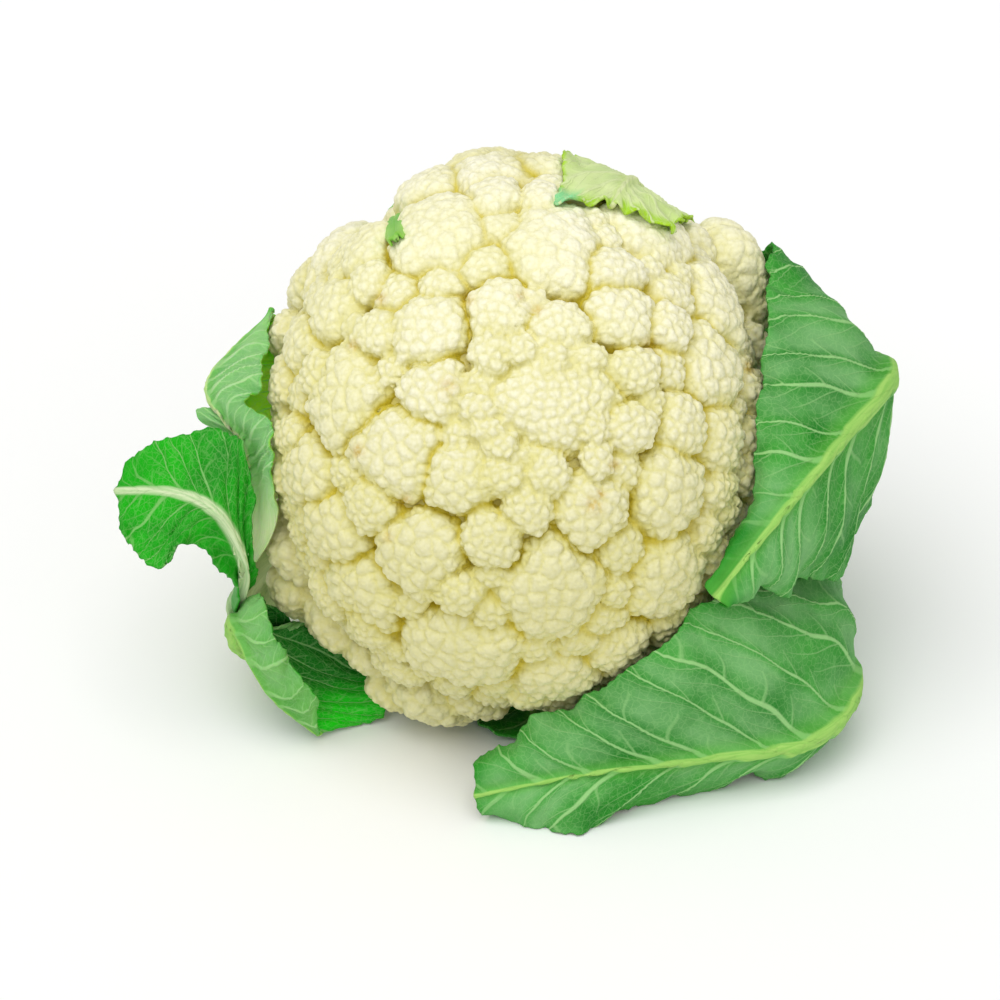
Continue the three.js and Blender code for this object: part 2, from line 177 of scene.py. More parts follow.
def unit(vectors):
    return vectors / np.maximum(np.linalg.norm(vectors, axis=-1, keepdims=True), 1e-9)


def core_reach(ways, share=CORE_SHARE):
    """How far the solid core, or an envelope of another share, reaches along unit vectors."""
    depth = np.where(ways[:, 2] > 0, HEAD_FRONT_DEPTH * share, CORE_BACK_DEPTH * share / CORE_SHARE)
    across = (ways[:, 0] / HEAD_HALF_WIDTH) ** 2 + (ways[:, 1] / HEAD_HALF_HEIGHT) ** 2
    return 1 / np.sqrt(across / share**2 + (ways[:, 2] / depth) ** 2)


def head_reach(ways, swell):
    """How far the core and the bumps reach along unit vectors, each swollen by some millimetres."""
    far = core_reach(ways) + swell
    for x, y, z, radius in ALL_BUMPS:
        middle = np.array((x, y, z))
        along = ways @ middle
        room = (radius + swell) ** 2 - (middle @ middle - along**2)
        hit = (along > 0) & (room > 0)
        far[hit] = np.maximum(far[hit], along[hit] + np.sqrt(room[hit]))
    return far


# ---- Where the head is ----


def head_place():
    """The head's middle, from the stalk's cut end, which lies on the head's axis."""
    corners = np.array([tuple(v.co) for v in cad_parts["stalk"].data.vertices])
    axis = HEAD_TURN @ np.array((0, 0, 1))
    along = corners @ axis
    cut = np.unique(corners[along < along.min() + 1e-5].round(6), axis=0)
    return cut.mean(axis=0) - axis * STALK_CUT_Z * MM


HEAD_PLACE = head_place()
LOWEST = np.array(CAD_BOX[0]) + 0.0001
HIGHEST = np.array(CAD_BOX[1]) - 0.0001


def to_row(points):
    """Points of the head's frame in millimetres, as places of the row in metres, kept in the frame's box."""
    placed = points @ HEAD_TURN.T * MM + HEAD_PLACE
    return np.clip(placed, LOWEST, HIGHEST)


def height_of(points):
    """How far points of the head's frame are above the surface that the head lies on."""
    return (points @ HEAD_TURN.T)[..., 2] + HEAD_PLACE[2] / MM


# ---- Mesh helpers ----


def deselect():
    if bpy.context.object and bpy.context.object.mode != "OBJECT":
        bpy.ops.object.mode_set(mode="OBJECT")
    bpy.ops.object.select_all(action="DESELECT")


def make_active(piece):
    deselect()
    piece.select_set(True)
    bpy.context.view_layer.objects.active = piece


def apply_modifier(piece, name, kind, **values):
    make_active(piece)
    modifier = piece.modifiers.new(name, kind)
    for key, value in values.items():
        setattr(modifier, key, value)
    bpy.ops.object.modifier_apply(modifier=modifier.name)


def get_points(mesh):
    flat = np.empty(len(mesh.vertices) * 3)
    mesh.vertices.foreach_get("co", flat)
    return flat.reshape(-1, 3)


def set_points(mesh, points):
    mesh.vertices.foreach_set("co", points.ravel())
    mesh.update()


def get_normals(mesh):
    flat = np.empty(len(mesh.vertices) * 3, dtype=np.float32)
    mesh.vertex_normals.foreach_get("vector", flat)
    return flat.reshape(-1, 3).astype(float)


def keep_number(mesh, name, values):
    """Stores one number per point, for a material to read."""
    mesh.attributes.new(name, "FLOAT", "POINT").data.foreach_set("value", values.astype(np.float32))


def finish_piece(piece, name, node, material):
    piece.name = name
    piece.data.name = name
    piece.data.materials.clear()
    piece.data.materials.append(material)
    piece.data.shade_smooth()
    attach(piece, BODY)
    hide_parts(node)


def nearest(tree, points, count):
    """Distances from each point to its nearest few entries, and the nearest one's index."""
    distances = np.empty((len(points), count))
    indices = np.empty(len(points), dtype=int)
    for row, point in enumerate(points):
        found = tree.find_n(point, count)
        indices[row] = found[0][1]
        for column in range(count):
            distances[row, column] = found[column][2]
    return distances, indices


def make_tree(points):
    tree = kdtree.KDTree(len(points))
    for i, point in enumerate(points):
        tree.insert(point, i)
    tree.balance()
    return tree


# ---- Material helpers ----


def srgb(*steps):
    """A colour given in 0 to 255 steps, as linear light."""
    shares = (step / 255 for step in steps)
    return tuple(c / 12.92 if c <= 0.04045 else ((c + 0.055) / 1.055) ** 2.4 for c in shares)


def colour_setting(name, description, *steps):
    """A colour that a user can change, given in 0 to 255 steps."""
    return FloatVectorProperty(
        name=name, description=description, subtype="COLOR", size=3, min=0, max=1, default=srgb(*steps)
    )


def length_setting(name, description, millimetres, **limits):
    """A length that a user can change."""
    default = millimetres * MM
    return FloatProperty(
        name=name, description=description, unit="LENGTH", precision=5, default=default, min=0, **limits
    )


class Nodes:
    """Short ways to add and join a material's nodes."""

    def __init__(self, name):
        self.material = bpy.data.materials.new(name)
        self.material.use_nodes = True
        self.tree = self.material.node_tree
        self.shader = self.tree.nodes["Principled BSDF"]
        self.column = 0

    def add(self, kind, inputs=None, **values):
        node = self.tree.nodes.new(kind)
        self.column += 1
        node.location = (-220 * (1 + self.column % 8), 400 - 180 * (self.column // 8))
        for key, value in values.items():
            setattr(node, key, value)
        for key, value in (inputs or {}).items():
            self.put(value, node.inputs[key])
        return node

    def put(self, value, socket):
        if isinstance(value, bpy.types.NodeSocket):
            self.tree.links.new(value, socket)
        elif isinstance(value, (tuple, list)) and len(value) == 3 and socket.type == "RGBA":
            socket.default_value = (*value, 1)
        else:
            socket.default_value = value

    def number(self, name):
        return self.add("ShaderNodeAttribute", attribute_name=name).outputs["Fac"]

    def math(self, operation, a, b=0.0):
        return self.add("ShaderNodeMath", {0: a, 1: b}, operation=operation).outputs[0]

    def plus(self, a, b):
        return self.math("ADD", a, b)

    def minus(self, a, b):
        return self.math("SUBTRACT", a, b)

    def times(self, a, b):
        return self.math("MULTIPLY", a, b)

    def over(self, a, b):
        return self.math("DIVIDE", a, b)

    def ramp(self, value, low, high):
        """0 below low, 1 above high, smooth between."""
        node = self.add("ShaderNodeMapRange", {"Value": value, "From Min": low, "From Max": high})
        node.interpolation_type = "SMOOTHSTEP"
        return node.outputs["Result"]

    def mix(self, share, a, b):
        node = self.add("ShaderNodeMix", data_type="RGBA")
        self.put(share, node.inputs[0])
        self.put(a, node.inputs[6])
        self.put(b, node.inputs[7])
        return node.outputs[2]

    def noise(self, place, scale, detail=3.0, rough=0.55):
        inputs = {"Vector": place, "Scale": scale, "Detail": detail, "Roughness": rough}
        return self.add("ShaderNodeTexNoise", inputs).outputs["Fac"]

    def voronoi(self, place, scale, feature="F1"):
        node = self.add("ShaderNodeTexVoronoi", {"Vector": place, "Scale": scale}, feature=feature)
        return node.outputs["Distance"]

    def bump(self, height, strength, distance):
        inputs = {"Height": height, "Strength": strength, "Distance": distance}
        return self.add("ShaderNodeBump", inputs).outputs["Normal"]


# ---- The curd ----

DOME_WIDTH, DOME_HEIGHT, DOME_POWER = 1.24, 0.88, 2.4
LOBE_REACH = 0.05
SEAM_WIDTH = 1.1
FLOOR_SHARE = 0.89
# Broad domes that the frame shows as groups of smaller bumps: the growing tip, and the floret at the top.
# Each is as far right, as far up and as wide as given, sunk by some millimetres, with its lumps' own pitch.
BROAD_FLORETS = ((*TIP_MIDDLE, 17, 0.3, 4.1), (-6, 69.5, 18.5, 0, 6.8))
FILL_LEAST_Z = -14
NOTCH_FILL_Z = 42
FILL_DEPTH = 4.4
FILL_TOP_DEPTH = 2.4
FILL_LEAST_ROOM = 1.5
FILL_MOST_ROOM = 9.0
FILL_MOST = 260
FILL_TRIES = 30000
FILL_SMALLEST, FILL_LARGEST = 3.6, 7.5
LUMP_SHARE, LUMP_LEAST, LUMP_MOST = 0.5, 4.2, 6.6
VALLEY_ROUNDING = 0.4
# How far inside another floret a lump or knob may still stand.
PLACE_OVERLAP = 1.4
BEADS_PER_METRE = 640
BURIED = 2.5
LEAST_SCRAP = 300
FAN_DEPTH = 0.9
KEPT_FACES = 0.66

# Small browned places: how far right and up on the face, how wide, and how dark.
MARKS = (
    (22.5, -22.5, 2.4, 0.7), (24.5, -19, 1.2, 0.9), (-21, 13, 2.6, 0.5), (-48.5, -6, 1.8, 0.9),
    (-41.5, 40, 1.6, 0.8), (-15, 39, 1.7, 0.6), (-50, 26, 1.5, 0.8), (-39.5, -32, 1.6, 0.58),
    (-34, -21, 1.8, 0.7), (28.5, -10.5, 1.4, 0.8), (39.5, 26, 1.8, 0.6), (71, 20, 2.0, 0.9),
    (0.5, 40.5, 1.5, 0.6), (5.5, 36, 1.6, 0.6),
)

# Each group of florets is one closed piece. A floret belongs to the nearest of these places. The second
# number is how finely the piece is grown, in millimetres.
CURD_GROUPS = {
    "curd_middle": ((8, 2, 62), 0.58),
    "curd_top": ((-4, 66, 26), 0.58),
    "curd_top_right": ((52, 40, 24), 0.58),
    "curd_right": ((52, -24, 30), 0.58),
    "curd_bottom": ((4, -68, 20), 0.58),
    "curd_left": ((-56, -38, 24), 0.58),
    "curd_top_left": ((-56, 26, 28), 0.58),
    "curd_back_top": ((0, 50, -32), 1.0),
    "curd_back_right": ((58, -20, -30), 1.0),
    "curd_back_left": ((-52, -34, -32), 1.0),
}


def envelope_normals(points):
    depth = np.where(points[:, 2] > 0, HEAD_FRONT_DEPTH, CORE_BACK_DEPTH)
    wide, tall = np.full(len(points), HEAD_HALF_WIDTH), np.full(len(points), HEAD_HALF_HEIGHT)
    return unit(points / np.stack((wide, tall, depth), axis=1) ** 2)


def turn_to(way):
    """The rotation that takes +Z to a direction."""
    return np.array(Vector((0, 0, 1)).rotation_difference(Vector(way).normalized()).to_matrix())


class Floret:
    """A lobed dome, flatter on top and steeper at its sides than a ball, as florets press together."""

    def __init__(self, middle, radius, lump_pitch=None):
        self.radius = radius
        self.lump_pitch = lump_pitch or min(LUMP_MOST, max(LUMP_LEAST, LUMP_SHARE * radius))
        self.way = envelope_normals(np.array(middle)[None])[0]
        self.turn = turn_to(self.way)
        self.wide, self.high = DOME_WIDTH * radius, DOME_HEIGHT * radius
        self.middle = middle + self.way * (radius - self.high)
        rng = np.random.default_rng(np.abs(np.rint(np.array(middle) * 10)).astype(int))
        self.oval = rng.uniform(0.87, 1.13)
        self.lobes = rng.integers((3, 5), (5, 8))
        self.phases = rng.random(2) * 2 * math.pi

    def excess(self, local):
        """How many times further out than the dome's surface each point is."""
        across = np.hypot(local[:, 0] * self.oval, local[:, 1] / self.oval) / self.wide
        angle = np.arctan2(local[:, 1], local[:, 0])
        few, many = (np.sin(count * angle + phase) for count, phase in zip(self.lobes, self.phases))
        across /= 1 + LOBE_REACH * (few + many)
        up = np.abs(local[:, 2]) / self.high
        return (across**DOME_POWER + up**DOME_POWER) ** (1 / DOME_POWER)

    def surface(self, ways):
        """Places on the dome along unit vectors of its own frame."""
        return self.middle + ways / self.excess(ways)[:, None] @ self.turn.T

    def gap(self, points):
        """How far points are outside the dome, or less than 0 inside it, where they are near it."""
        offset = points - self.middle
        far = np.linalg.norm(offset, axis=1)
        near = np.nonzero(far < 1.7 * self.radius + 4)[0]
        excess = np.maximum(1e-3, self.excess(offset[near] @ self.turn))
        return near, far[near] * (1 - 1 / excess)

    def reach(self, ways):
        """Which unit vectors from the head's middle meet the dome, and how far out they leave it."""
        along = ways @ self.middle
        room = (1.5 * self.radius) ** 2 - (self.middle @ self.middle - along**2)
        met = np.nonzero((along > 0) & (room > 0))[0]
        low, high = along[met], along[met] + np.sqrt(room[met])
        inside = self.excess((ways[met] * low[:, None] - self.middle) @ self.turn) < 1
        met, low, high = met[inside], low[inside], high[inside]
        for _ in range(10):
            half = (low + high) / 2
            within = self.excess((ways[met] * half[:, None] - self.middle) @ self.turn) < 1
            low, high = np.where(within, half, low), np.where(within, high, half)
        return met, high


def spread_ways(count, least_rise=-1.0):
    """Unit vectors spread evenly over a cap round +Z."""
    steps = np.arange(count) + 0.5
    rise = 1 - (1 - least_rise) * steps / count
    flat = np.sqrt(np.maximum(0, 1 - rise**2))
    angle = steps * GOLDEN_ANGLE
    return np.stack((flat * np.cos(angle), flat * np.sin(angle), rise), axis=1)


def fill_gaps(florets):
    """Adds small florets in the widest gaps, one by one, as the head grows them."""
    ways = spread_ways(FILL_TRIES)
    depth = ways[:, 2] * core_reach(ways, 1.0)
    in_notch = np.abs(np.degrees(np.arctan2(ways[:, 1], ways[:, 0])) - NOTCH_DEG) < NOTCH_HALF_WIDTH_DEG
    ways = ways[(depth > FILL_LEAST_Z) & ~(in_notch & (depth < NOTCH_FILL_Z))]
    points = ways * (core_reach(ways, 1.0) - FILL_DEPTH)[:, None]
    room = np.full(len(points), FILL_MOST_ROOM)
    grown = list(florets)
    for floret in grown:
        near, gap = floret.gap(points)
        room[near] = np.minimum(room[near], gap)
    for _ in range(FILL_MOST):
        widest = room.argmax()
        if room[widest] < FILL_LEAST_ROOM:
            break
        radius = min(FILL_LARGEST, max(FILL_SMALLEST, 1.35 * room[widest] + 1.9))
        way = envelope_normals(points[widest][None])[0]
        top = points[widest] + way * (FILL_DEPTH - FILL_TOP_DEPTH)
        floret = Floret(top - way * radius, radius)
        near, gap = floret.gap(points)
        room[near] = np.minimum(room[near], gap)
        room[widest] = 0
        grown.append(floret)
    return grown


@functools.cache
def grown_florets():
    """The broad florets, the frame's others, and the ones that fill the gaps."""
    florets = []
    for x, y, radius, sunk, lump_pitch in BROAD_FLORETS:
        middle = np.array(face_bump(x, y, radius)[:3])
        florets.append(Floret(middle * (1 - sunk / np.linalg.norm(middle)), radius, lump_pitch))
    others = (*(face_bump(*floret) for floret in FACE_FLORETS), *back_bumps())
    return fill_gaps(florets + [Floret(bump[:3], bump[3]) for bump in others])


def spiral_on(floret, pitch, least_rise, rng, lean):
    """Places at an even pitch over the outer side of a floret."""
    area = 2 * math.pi * floret.radius**2 * 1.15 * (1 - least_rise)
    ways = spread_ways(int(area / (0.87 * pitch**2)) + 3, least_rise)
    spun = ways @ np.array(Matrix.Rotation(rng.random() * 2 * math.pi, 3, "Z"))
    spots = floret.surface(spun)
    return spots + rng.normal(0, lean * pitch, spots.shape)


def places_on(florets, pitches, rng, lean):
    """The open places of a pattern that covers every floret, as a tree, and the pitch at each."""
    spots = [spiral_on(floret, pitch, -0.1, rng, lean) for floret, pitch in zip(florets, pitches)]
    pitch_at = np.repeat(pitches, [len(some) for some in spots])
    spots = np.vstack(spots)
    free = np.ones(len(spots), dtype=bool)
    for floret in florets:
        near, gap = floret.gap(spots)
        free[near] &= gap > -PLACE_OVERLAP
    return make_tree(spots[free]), pitch_at[free]


def cells(places, points):
    """How each point lies in the cell of its nearest place: from 0 at the border to 1, the border's distance,
    and the pitch there."""
    tree, pitch_at = places
    gaps, index = nearest(tree, points, 2)
    pitch = pitch_at[index]
    border = gaps[:, 1] - gaps[:, 0]
    rounded = border**2 / (border + VALLEY_ROUNDING)
    return 1 - (1 - np.clip(rounded / (0.7 * pitch), 0, 1)) ** 2.2, border, pitch


def seam_distance(points, florets):
    """How much nearer each point is to its own floret's surface than to the next one's, and the smaller
    one's radius."""
    first, second = np.full(len(points), 1e3), np.full(len(points), 1e3)
    own, other = np.zeros(len(points)), np.zeros(len(points))
    for floret in florets:
        near, gap = floret.gap(points)
        least, next_least = first[near], second[near]
        nearer, nearish = gap < least, gap < next_least
        other[near] = np.where(nearer, own[near], np.where(nearish, floret.radius, other[near]))
        own[near] = np.where(nearer, floret.radius, own[near])
        second[near] = np.where(nearer, least, np.minimum(next_least, gap))
        first[near] = np.minimum(least, gap)
    return second - first, np.minimum(own, other)


def unit_ball(subdivisions):
    """The points and faces of a ball primitive."""
    deselect()
    bpy.ops.mesh.primitive_ico_sphere_add(subdivisions=subdivisions, radius=1)
    ball = bpy.context.object
    points = get_points(ball.data)
    faces = np.empty(len(ball.data.polygons) * 3, dtype=np.int32)
    ball.data.polygons.foreach_get("vertices", faces)
    bpy.data.objects.remove(ball)
    return points, faces.reshape(-1, 3)


def cluster(parts):
    """One mesh of many closed shapes, each given by its points and faces."""
    points, faces, count = [], [], 0
    for shape_points, shape_faces in parts:
        points.append(shape_points)
        faces.append(shape_faces + count)
        count += len(shape_points)
    mesh = bpy.data.meshes.new("cluster")
    mesh.from_pydata(np.vstack(points), [], np.vstack(faces))
    piece = bpy.data.objects.new("cluster", mesh)
    bpy.context.collection.objects.link(piece)
    return piece


def floor_share(ways):
    """The core comes close under the florets of the face, and lies deeper at the back."""
    return CORE_SHARE + (FLOOR_SHARE - CORE_SHARE) * np.clip((ways[:, 2] + 0.25) / 0.35, 0, 1)


def is_pinched(vert):
    """Whether a point is loose, or is where two openings meet."""
    return not vert.link_faces or sum(edge.is_boundary for edge in vert.link_edges) > 2


def small_scraps(shape, least):
    """The points of every loose part that has fewer points than the least."""
    scraps = []
    for vert in shape.verts:
        vert.tag = True
    for start in shape.verts:
        if not start.tag:
            continue
        start.tag = False
        scrap = [start]
        for vert in scrap:
            for edge in vert.link_edges:
                other = edge.other_vert(vert)
                if other.tag:
                    other.tag = False
                    scrap.append(other)
        if len(scrap) < least:
            scraps += scrap
    return scraps


def drop_points(shape, points):
    """Deletes points, and then the edges that have no face left."""
    bmesh.ops.delete(shape, geom=points, context="VERTS")
    bare = [edge for edge in shape.edges if edge.is_wire]
    bmesh.ops.delete(shape, geom=bare, context="EDGES")


def close_openings(shape):
    """Closes each opening with a fan of faces that meet deep inside the head."""
    open_edges = [edge for edge in shape.edges if edge.is_boundary]
    for edge in shape.edges:
        edge.tag = edge.is_boundary
    for start in open_edges:
        if not start.tag:
            continue
        start.tag = False
        rim = [start]
        for edge in rim:
            for other in (*edge.verts[0].link_edges, *edge.verts[1].link_edges):
                if other.tag:
                    other.tag = False
                    rim.append(other)
        middle = sum((edge.verts[0].co + edge.verts[1].co for edge in rim), Vector()) / (2 * len(rim))
        inside = shape.verts.new(middle * FAN_DEPTH)
        for edge in rim:
            corner = edge.link_loops[0]
            shape.faces.new((corner.link_loop_next.vert, corner.vert, inside))


def hollow_out(piece, others):
    """Takes away what is hidden in the core or in other florets, and closes the openings there."""
    points = get_points(piece.data)
    ways = unit(points)
    hidden = np.linalg.norm(points, axis=1) < core_reach(ways, floor_share(ways) - 0.07)
    for floret in others:
        near, gap = floret.gap(points)
        hidden[near] |= gap < -BURIED
    shape = bmesh.new()
    shape.from_mesh(piece.data)
    shape.verts.ensure_lookup_table()
    unwanted = [shape.verts[i] for i in np.nonzero(hidden)[0]]
    while unwanted:
        drop_points(shape, unwanted)
        unwanted = [vert for vert in shape.verts if is_pinched(vert)] or small_scraps(shape, LEAST_SCRAP)
    close_openings(shape)
    shape.to_mesh(piece.data)
    shape.free()


def drop_scraps(piece, least):
    shape = bmesh.new()
    shape.from_mesh(piece.data)
    drop_points(shape, [])
    drop_points(shape, small_scraps(shape, least))
    shape.to_mesh(piece.data)
    shape.free()


def mark_strength(points):
    """How strongly each point of the curd is browned, from the places of its marks."""
    strength = np.zeros(len(points))
    for right, up, radius, dark in MARKS:
        gap = np.hypot(points[:, 0] - right, points[:, 1] - up)
        strength = np.maximum(strength, dark * np.exp(-((gap / radius) ** 2)) * (points[:, 2] > 0))
    return strength


def grow_curd_group(name, florets, own, ball, voxel, lumps, knobs, settings, material):
    """florets are all the florets, and own tells which of them this piece is grown from."""
    ball_points, ball_faces = ball
    piece = cluster([(floret.surface(ball_points), ball_faces) for floret, mine in zip(florets, own) if mine])
    apply_modifier(piece, "Remesh", "REMESH", mode="VOXEL", voxel_size=voxel)
    apply_modifier(piece, "Smooth", "SMOOTH", factor=0.5, iterations=2)
    hollow_out(piece, [floret for floret, mine in zip(florets, own) if not mine])
    points = get_points(piece.data)
    normals = get_normals(piece.data)
    aside, smaller = seam_distance(points, florets)
    parted = np.clip((smaller - 3) / 6, 0.12, 1)
    lump_height, lump_border, lump_pitch = cells(lumps, points)
    knob_height, knob_border, _ = cells(knobs, points)
    flatter = (1 - 0.25 * np.clip(aside / 7, 0, 1)) * (1 - 0.45 * np.clip((points[:, 1] - 15) / 50, 0, 1))
    rise = settings.lump_rise * lump_pitch * flatter * (lump_height - 0.6)
    rise += settings.knob_rise / MM * flatter * (knob_height - 0.5)
    points += normals * rise[:, None]
    points -= unit(points) * (settings.seam_depth / MM * parted * np.exp(-aside / SEAM_WIDTH))[:, None]
    sunk = core_reach(unit(points), 1.0) - np.linalg.norm(points, axis=1)
    mesh = piece.data
    set_points(mesh, to_row(points))
    # The seam and sunk numbers mark where florets meet and how far a place lies below the head's envelope;
    # the material paints shade there.
    keep_number(mesh, "seam", parted * np.exp(-aside / SEAM_WIDTH))
    # The furrow and groove numbers mark the furrows between lumps and between knobs, where the material
    # paints shade.
    keep_number(mesh, "furrow", flatter * (1 - np.clip(lump_border / 1.4, 0, 1)))
    keep_number(mesh, "groove", flatter * (1 - np.clip(knob_border / 1.1, 0, 1)))
    front = np.clip((points[:, 2] + 25) / 30, 0.15, 1)
    keep_number(mesh, "sunk", front * np.clip(sunk / 10, 0, 1))
    keep_number(mesh, "mark", mark_strength(points))
    apply_modifier(piece, "Decimate", "DECIMATE", ratio=KEPT_FACES)
    drop_scraps(piece, LEAST_SCRAP / 2)
    finish_piece(piece, name, "curd", material)


def curd_material(settings):
    nodes = Nodes("curd_flesh")
    place = nodes.add("ShaderNodeTexCoord").outputs["Object"]
    patches = nodes.noise(place, 28, 1)
    grain = nodes.noise(place, 2600, 2)
    beads = nodes.voronoi(place, BEADS_PER_METRE)
    bead_pit_shade = nodes.ramp(beads, 0.42, 0.8)
    mottle = nodes.ramp(nodes.noise(place, 900, 1), 0.42, 0.66)
    height = nodes.add("ShaderNodeSeparateXYZ", {"Vector": place}).outputs["Z"]

    def tint(base, share, factor, colour):
        return nodes.mix(nodes.times(share, factor), base, tuple(colour))

    base = nodes.mix(nodes.ramp(patches, 0.35, 0.7), tuple(settings.flesh), tuple(settings.warm_flesh))
    # Darker, duller flesh towards the bottom of the head: partly the flesh's own duller colour, partly
    # painted shade for the light that falls from above.
    base = tint(base, nodes.minus(1.0, nodes.ramp(height, 0.07, 0.18)), 0.95, settings.low_flesh_and_shade)
    # Painted shade: the flesh is tinted towards the darker, yellower groove colour in the furrows between
    # knobs and lumps and in the hollows between beads. The mottle is random tone towards the same colour.
    base = tint(base, nodes.number("groove"), 0.16, settings.groove)
    base = tint(base, bead_pit_shade, 0.16, settings.groove)
    base = tint(base, mottle, 0.1, settings.groove)
    base = tint(base, nodes.number("furrow"), 0.6, settings.groove)
    # Painted shade: seams between florets and places sunk below the envelope are darkened towards the groove
    # colour and, deepest, towards the crevice colour, for the shade in the crevices.
    base = tint(base, nodes.number("seam"), 0.66, settings.groove)
    base = tint(base, nodes.ramp(nodes.number("sunk"), 0.2, 0.6), 0.32, settings.groove)
    depth = nodes.plus(nodes.times(nodes.number("seam"), 0.56), nodes.number("sunk"))
    depth = nodes.plus(depth, nodes.times(nodes.noise(place, 90, 0), 0.35))
    colour = nodes.mix(nodes.ramp(depth, 0.6, 1.3), base, tuple(settings.crevice_shade))
    freckles = nodes.ramp(nodes.noise(place, 700, 1), 0.35, 0.65)
    strength = nodes.plus(0.35, nodes.times(freckles, 0.6))
    mark = nodes.times(nodes.number("mark"), strength)
    colour = nodes.mix(mark, colour, tuple(settings.freckle))
    nodes.put(colour, nodes.shader.inputs["Base Color"])
    relief = nodes.times(nodes.times(beads, beads), -1.6)
    relief = nodes.plus(relief, nodes.times(grain, 0.18))
    nodes.put(nodes.bump(relief, 0.3, 0.0007), nodes.shader.inputs["Normal"])
    nodes.put(nodes.ramp(grain, -0.6, 1.6), nodes.shader.inputs["Roughness"])
    nodes.shader.inputs["Specular IOR Level"].default_value = 0.3
    return nodes.material


class CurdSettings(bpy.types.PropertyGroup):
    seam_depth: length_setting("Seam depth", "How deep the seams between florets are", 1.3, max=0.004)
    knob_pitch: length_setting("Knob pitch", "How far apart the knobs on a floret are", 2.8, max=0.008)
    knob_rise: length_setting("Knob rise", "How far the knobs stand out", 0.48, max=0.002)
    lump_rise: FloatProperty(
        name="Lump rise", description="How far a floret's lumps stand out, as a share of their pitch",
        subtype="FACTOR", default=0.24, min=0, max=0.5,
    )
    flesh: colour_setting("Flesh", "Colour of the florets", 253, 250, 226)
    warm_flesh: colour_setting("Warm flesh", "Slightly yellower patches", 248, 245, 206)
    # Partly the flesh's own duller colour low on the head, partly painted shade from the light above.
    low_flesh_and_shade: colour_setting("Low flesh", "Duller flesh low on the head", 218, 214, 164)
    # Painted shade: the darker, yellower colour painted in the furrows and in the hollows between beads,
    # where shade falls.
    groove: colour_setting("Groove", "Between the knobs of a floret", 216, 209, 120)
    # Painted shade: the dark ochre painted deep in the crevices between florets.
    crevice_shade: colour_setting("Crevice", "Deep between the florets", 206, 190, 58)
    freckle: colour_setting("Freckle", "Faint brown marks", 200, 162, 40)
    seed: IntProperty(name="Seed", description="Which draw of knobs is used", default=11, min=0)


class CAULIFLOWER_OT_curd(bpy.types.Operator):
    """Grow the florets of the head, with their lumps, knobs and beads"""

    bl_idname = "cauliflower.curd"
    bl_label = "Grow the curd"

    def execute(self, context):
        settings = context.scene.curd_settings
        material = curd_material(settings)
        florets = grown_florets()
        rng = np.random.default_rng(settings.seed)
        lumps = places_on(florets, np.array([floret.lump_pitch for floret in florets]), rng, 0.12)
        knobs = places_on(florets, np.full(len(florets), settings.knob_pitch / MM), rng, 0.15)
        anchors = np.array([place for place, _ in CURD_GROUPS.values()])
        middles = np.array([floret.middle for floret in florets])
        owner = np.linalg.norm(middles[:, None] - anchors, axis=2).argmin(axis=1)
        ball = unit_ball(5)
        for index, (name, (_, voxel)) in enumerate(CURD_GROUPS.items()):
            size = voxel * 1
            grow_curd_group(name, florets, owner == index, ball, size, lumps, knobs, settings, material)
        grow_core(knobs, material)
        return {"FINISHED"}


def grow_core(knobs, material):
    """The bumpy flesh that shows at the bottom of the crevices, and the flat underside."""
    deselect()
    bpy.ops.mesh.primitive_ico_sphere_add(subdivisions=6, radius=1)
    piece = bpy.context.object
    ways = unit(get_points(piece.data))
    reach = core_reach(ways, floor_share(ways))
    height, _, _ = cells(knobs, ways * reach[:, None])
    reach += 0.8 * height - 0.6
    flat = ways[:, 2] * reach < UNDERSIDE_Z
    reach[flat] = UNDERSIDE_Z / ways[flat, 2]
    points = ways * reach[:, None]
    mesh = piece.data
    set_points(mesh, to_row(points))
    front = np.clip((points[:, 2] + 20) / 30, 0, 1)
    # Painted shade: the core, seen only at the bottom of the crevices, gets fixed shares of the seam, furrow,
    # groove and sunk shade on its front.
    for key, share in (("seam", 0.5), ("furrow", 0.3), ("groove", 0.3), ("sunk", 0.45), ("mark", 0)):
        keep_number(mesh, key, share * front)
    finish_piece(piece, "curd_core", "curd", material)


# ---- The stalk ----


class StalkSettings(bpy.types.PropertyGroup):
    uneven: length_setting("Uneven", "How far the stalk's side swells in and out", 0.35, max=0.002)
    skin: colour_setting("Skin", "Green of the stalk's side", 196, 214, 150)
    pale_skin: colour_setting("Pale skin", "Streaks along the stalk's side", 224, 230, 186)
    flesh: colour_setting("Flesh", "The cut end", 236, 236, 208)
    ring: colour_setting("Ring", "The greener ring in the cut end", 196, 206, 142)
    pith: colour_setting("Pith", "Dried patches of the cut end", 214, 204, 156)


def stalk_material(settings):
    nodes = Nodes("stalk_skin")
    place = nodes.add("ShaderNodeTexCoord").outputs["Object"]
    turned = nodes.add("ShaderNodeMapping", {"Vector": place, "Rotation": (-HEAD_TIP, 0, 0)})
    drawn_out = nodes.add("ShaderNodeMapping", {"Vector": turned.outputs[0], "Scale": (1, 1, 0.12)})
    streaks = nodes.noise(drawn_out.outputs[0], 420, 4)
    cut = nodes.number("cut")
    skin = nodes.mix(nodes.ramp(streaks, 0.35, 0.7), tuple(settings.skin), tuple(settings.pale_skin))
    flesh = nodes.mix(nodes.number("ring"), tuple(settings.flesh), tuple(settings.ring))
    pith = nodes.mix(nodes.ramp(nodes.noise(place, 500, 3), 0.4, 0.8), flesh, tuple(settings.pith))
    colour = nodes.mix(cut, skin, pith)
    nodes.put(colour, nodes.shader.inputs["Base Color"])
    nodes.put(nodes.bump(streaks, 0.4, 0.0008), nodes.shader.inputs["Normal"])
    nodes.put(nodes.ramp(streaks, -0.8, 1.5), nodes.shader.inputs["Roughness"])
    return nodes.material


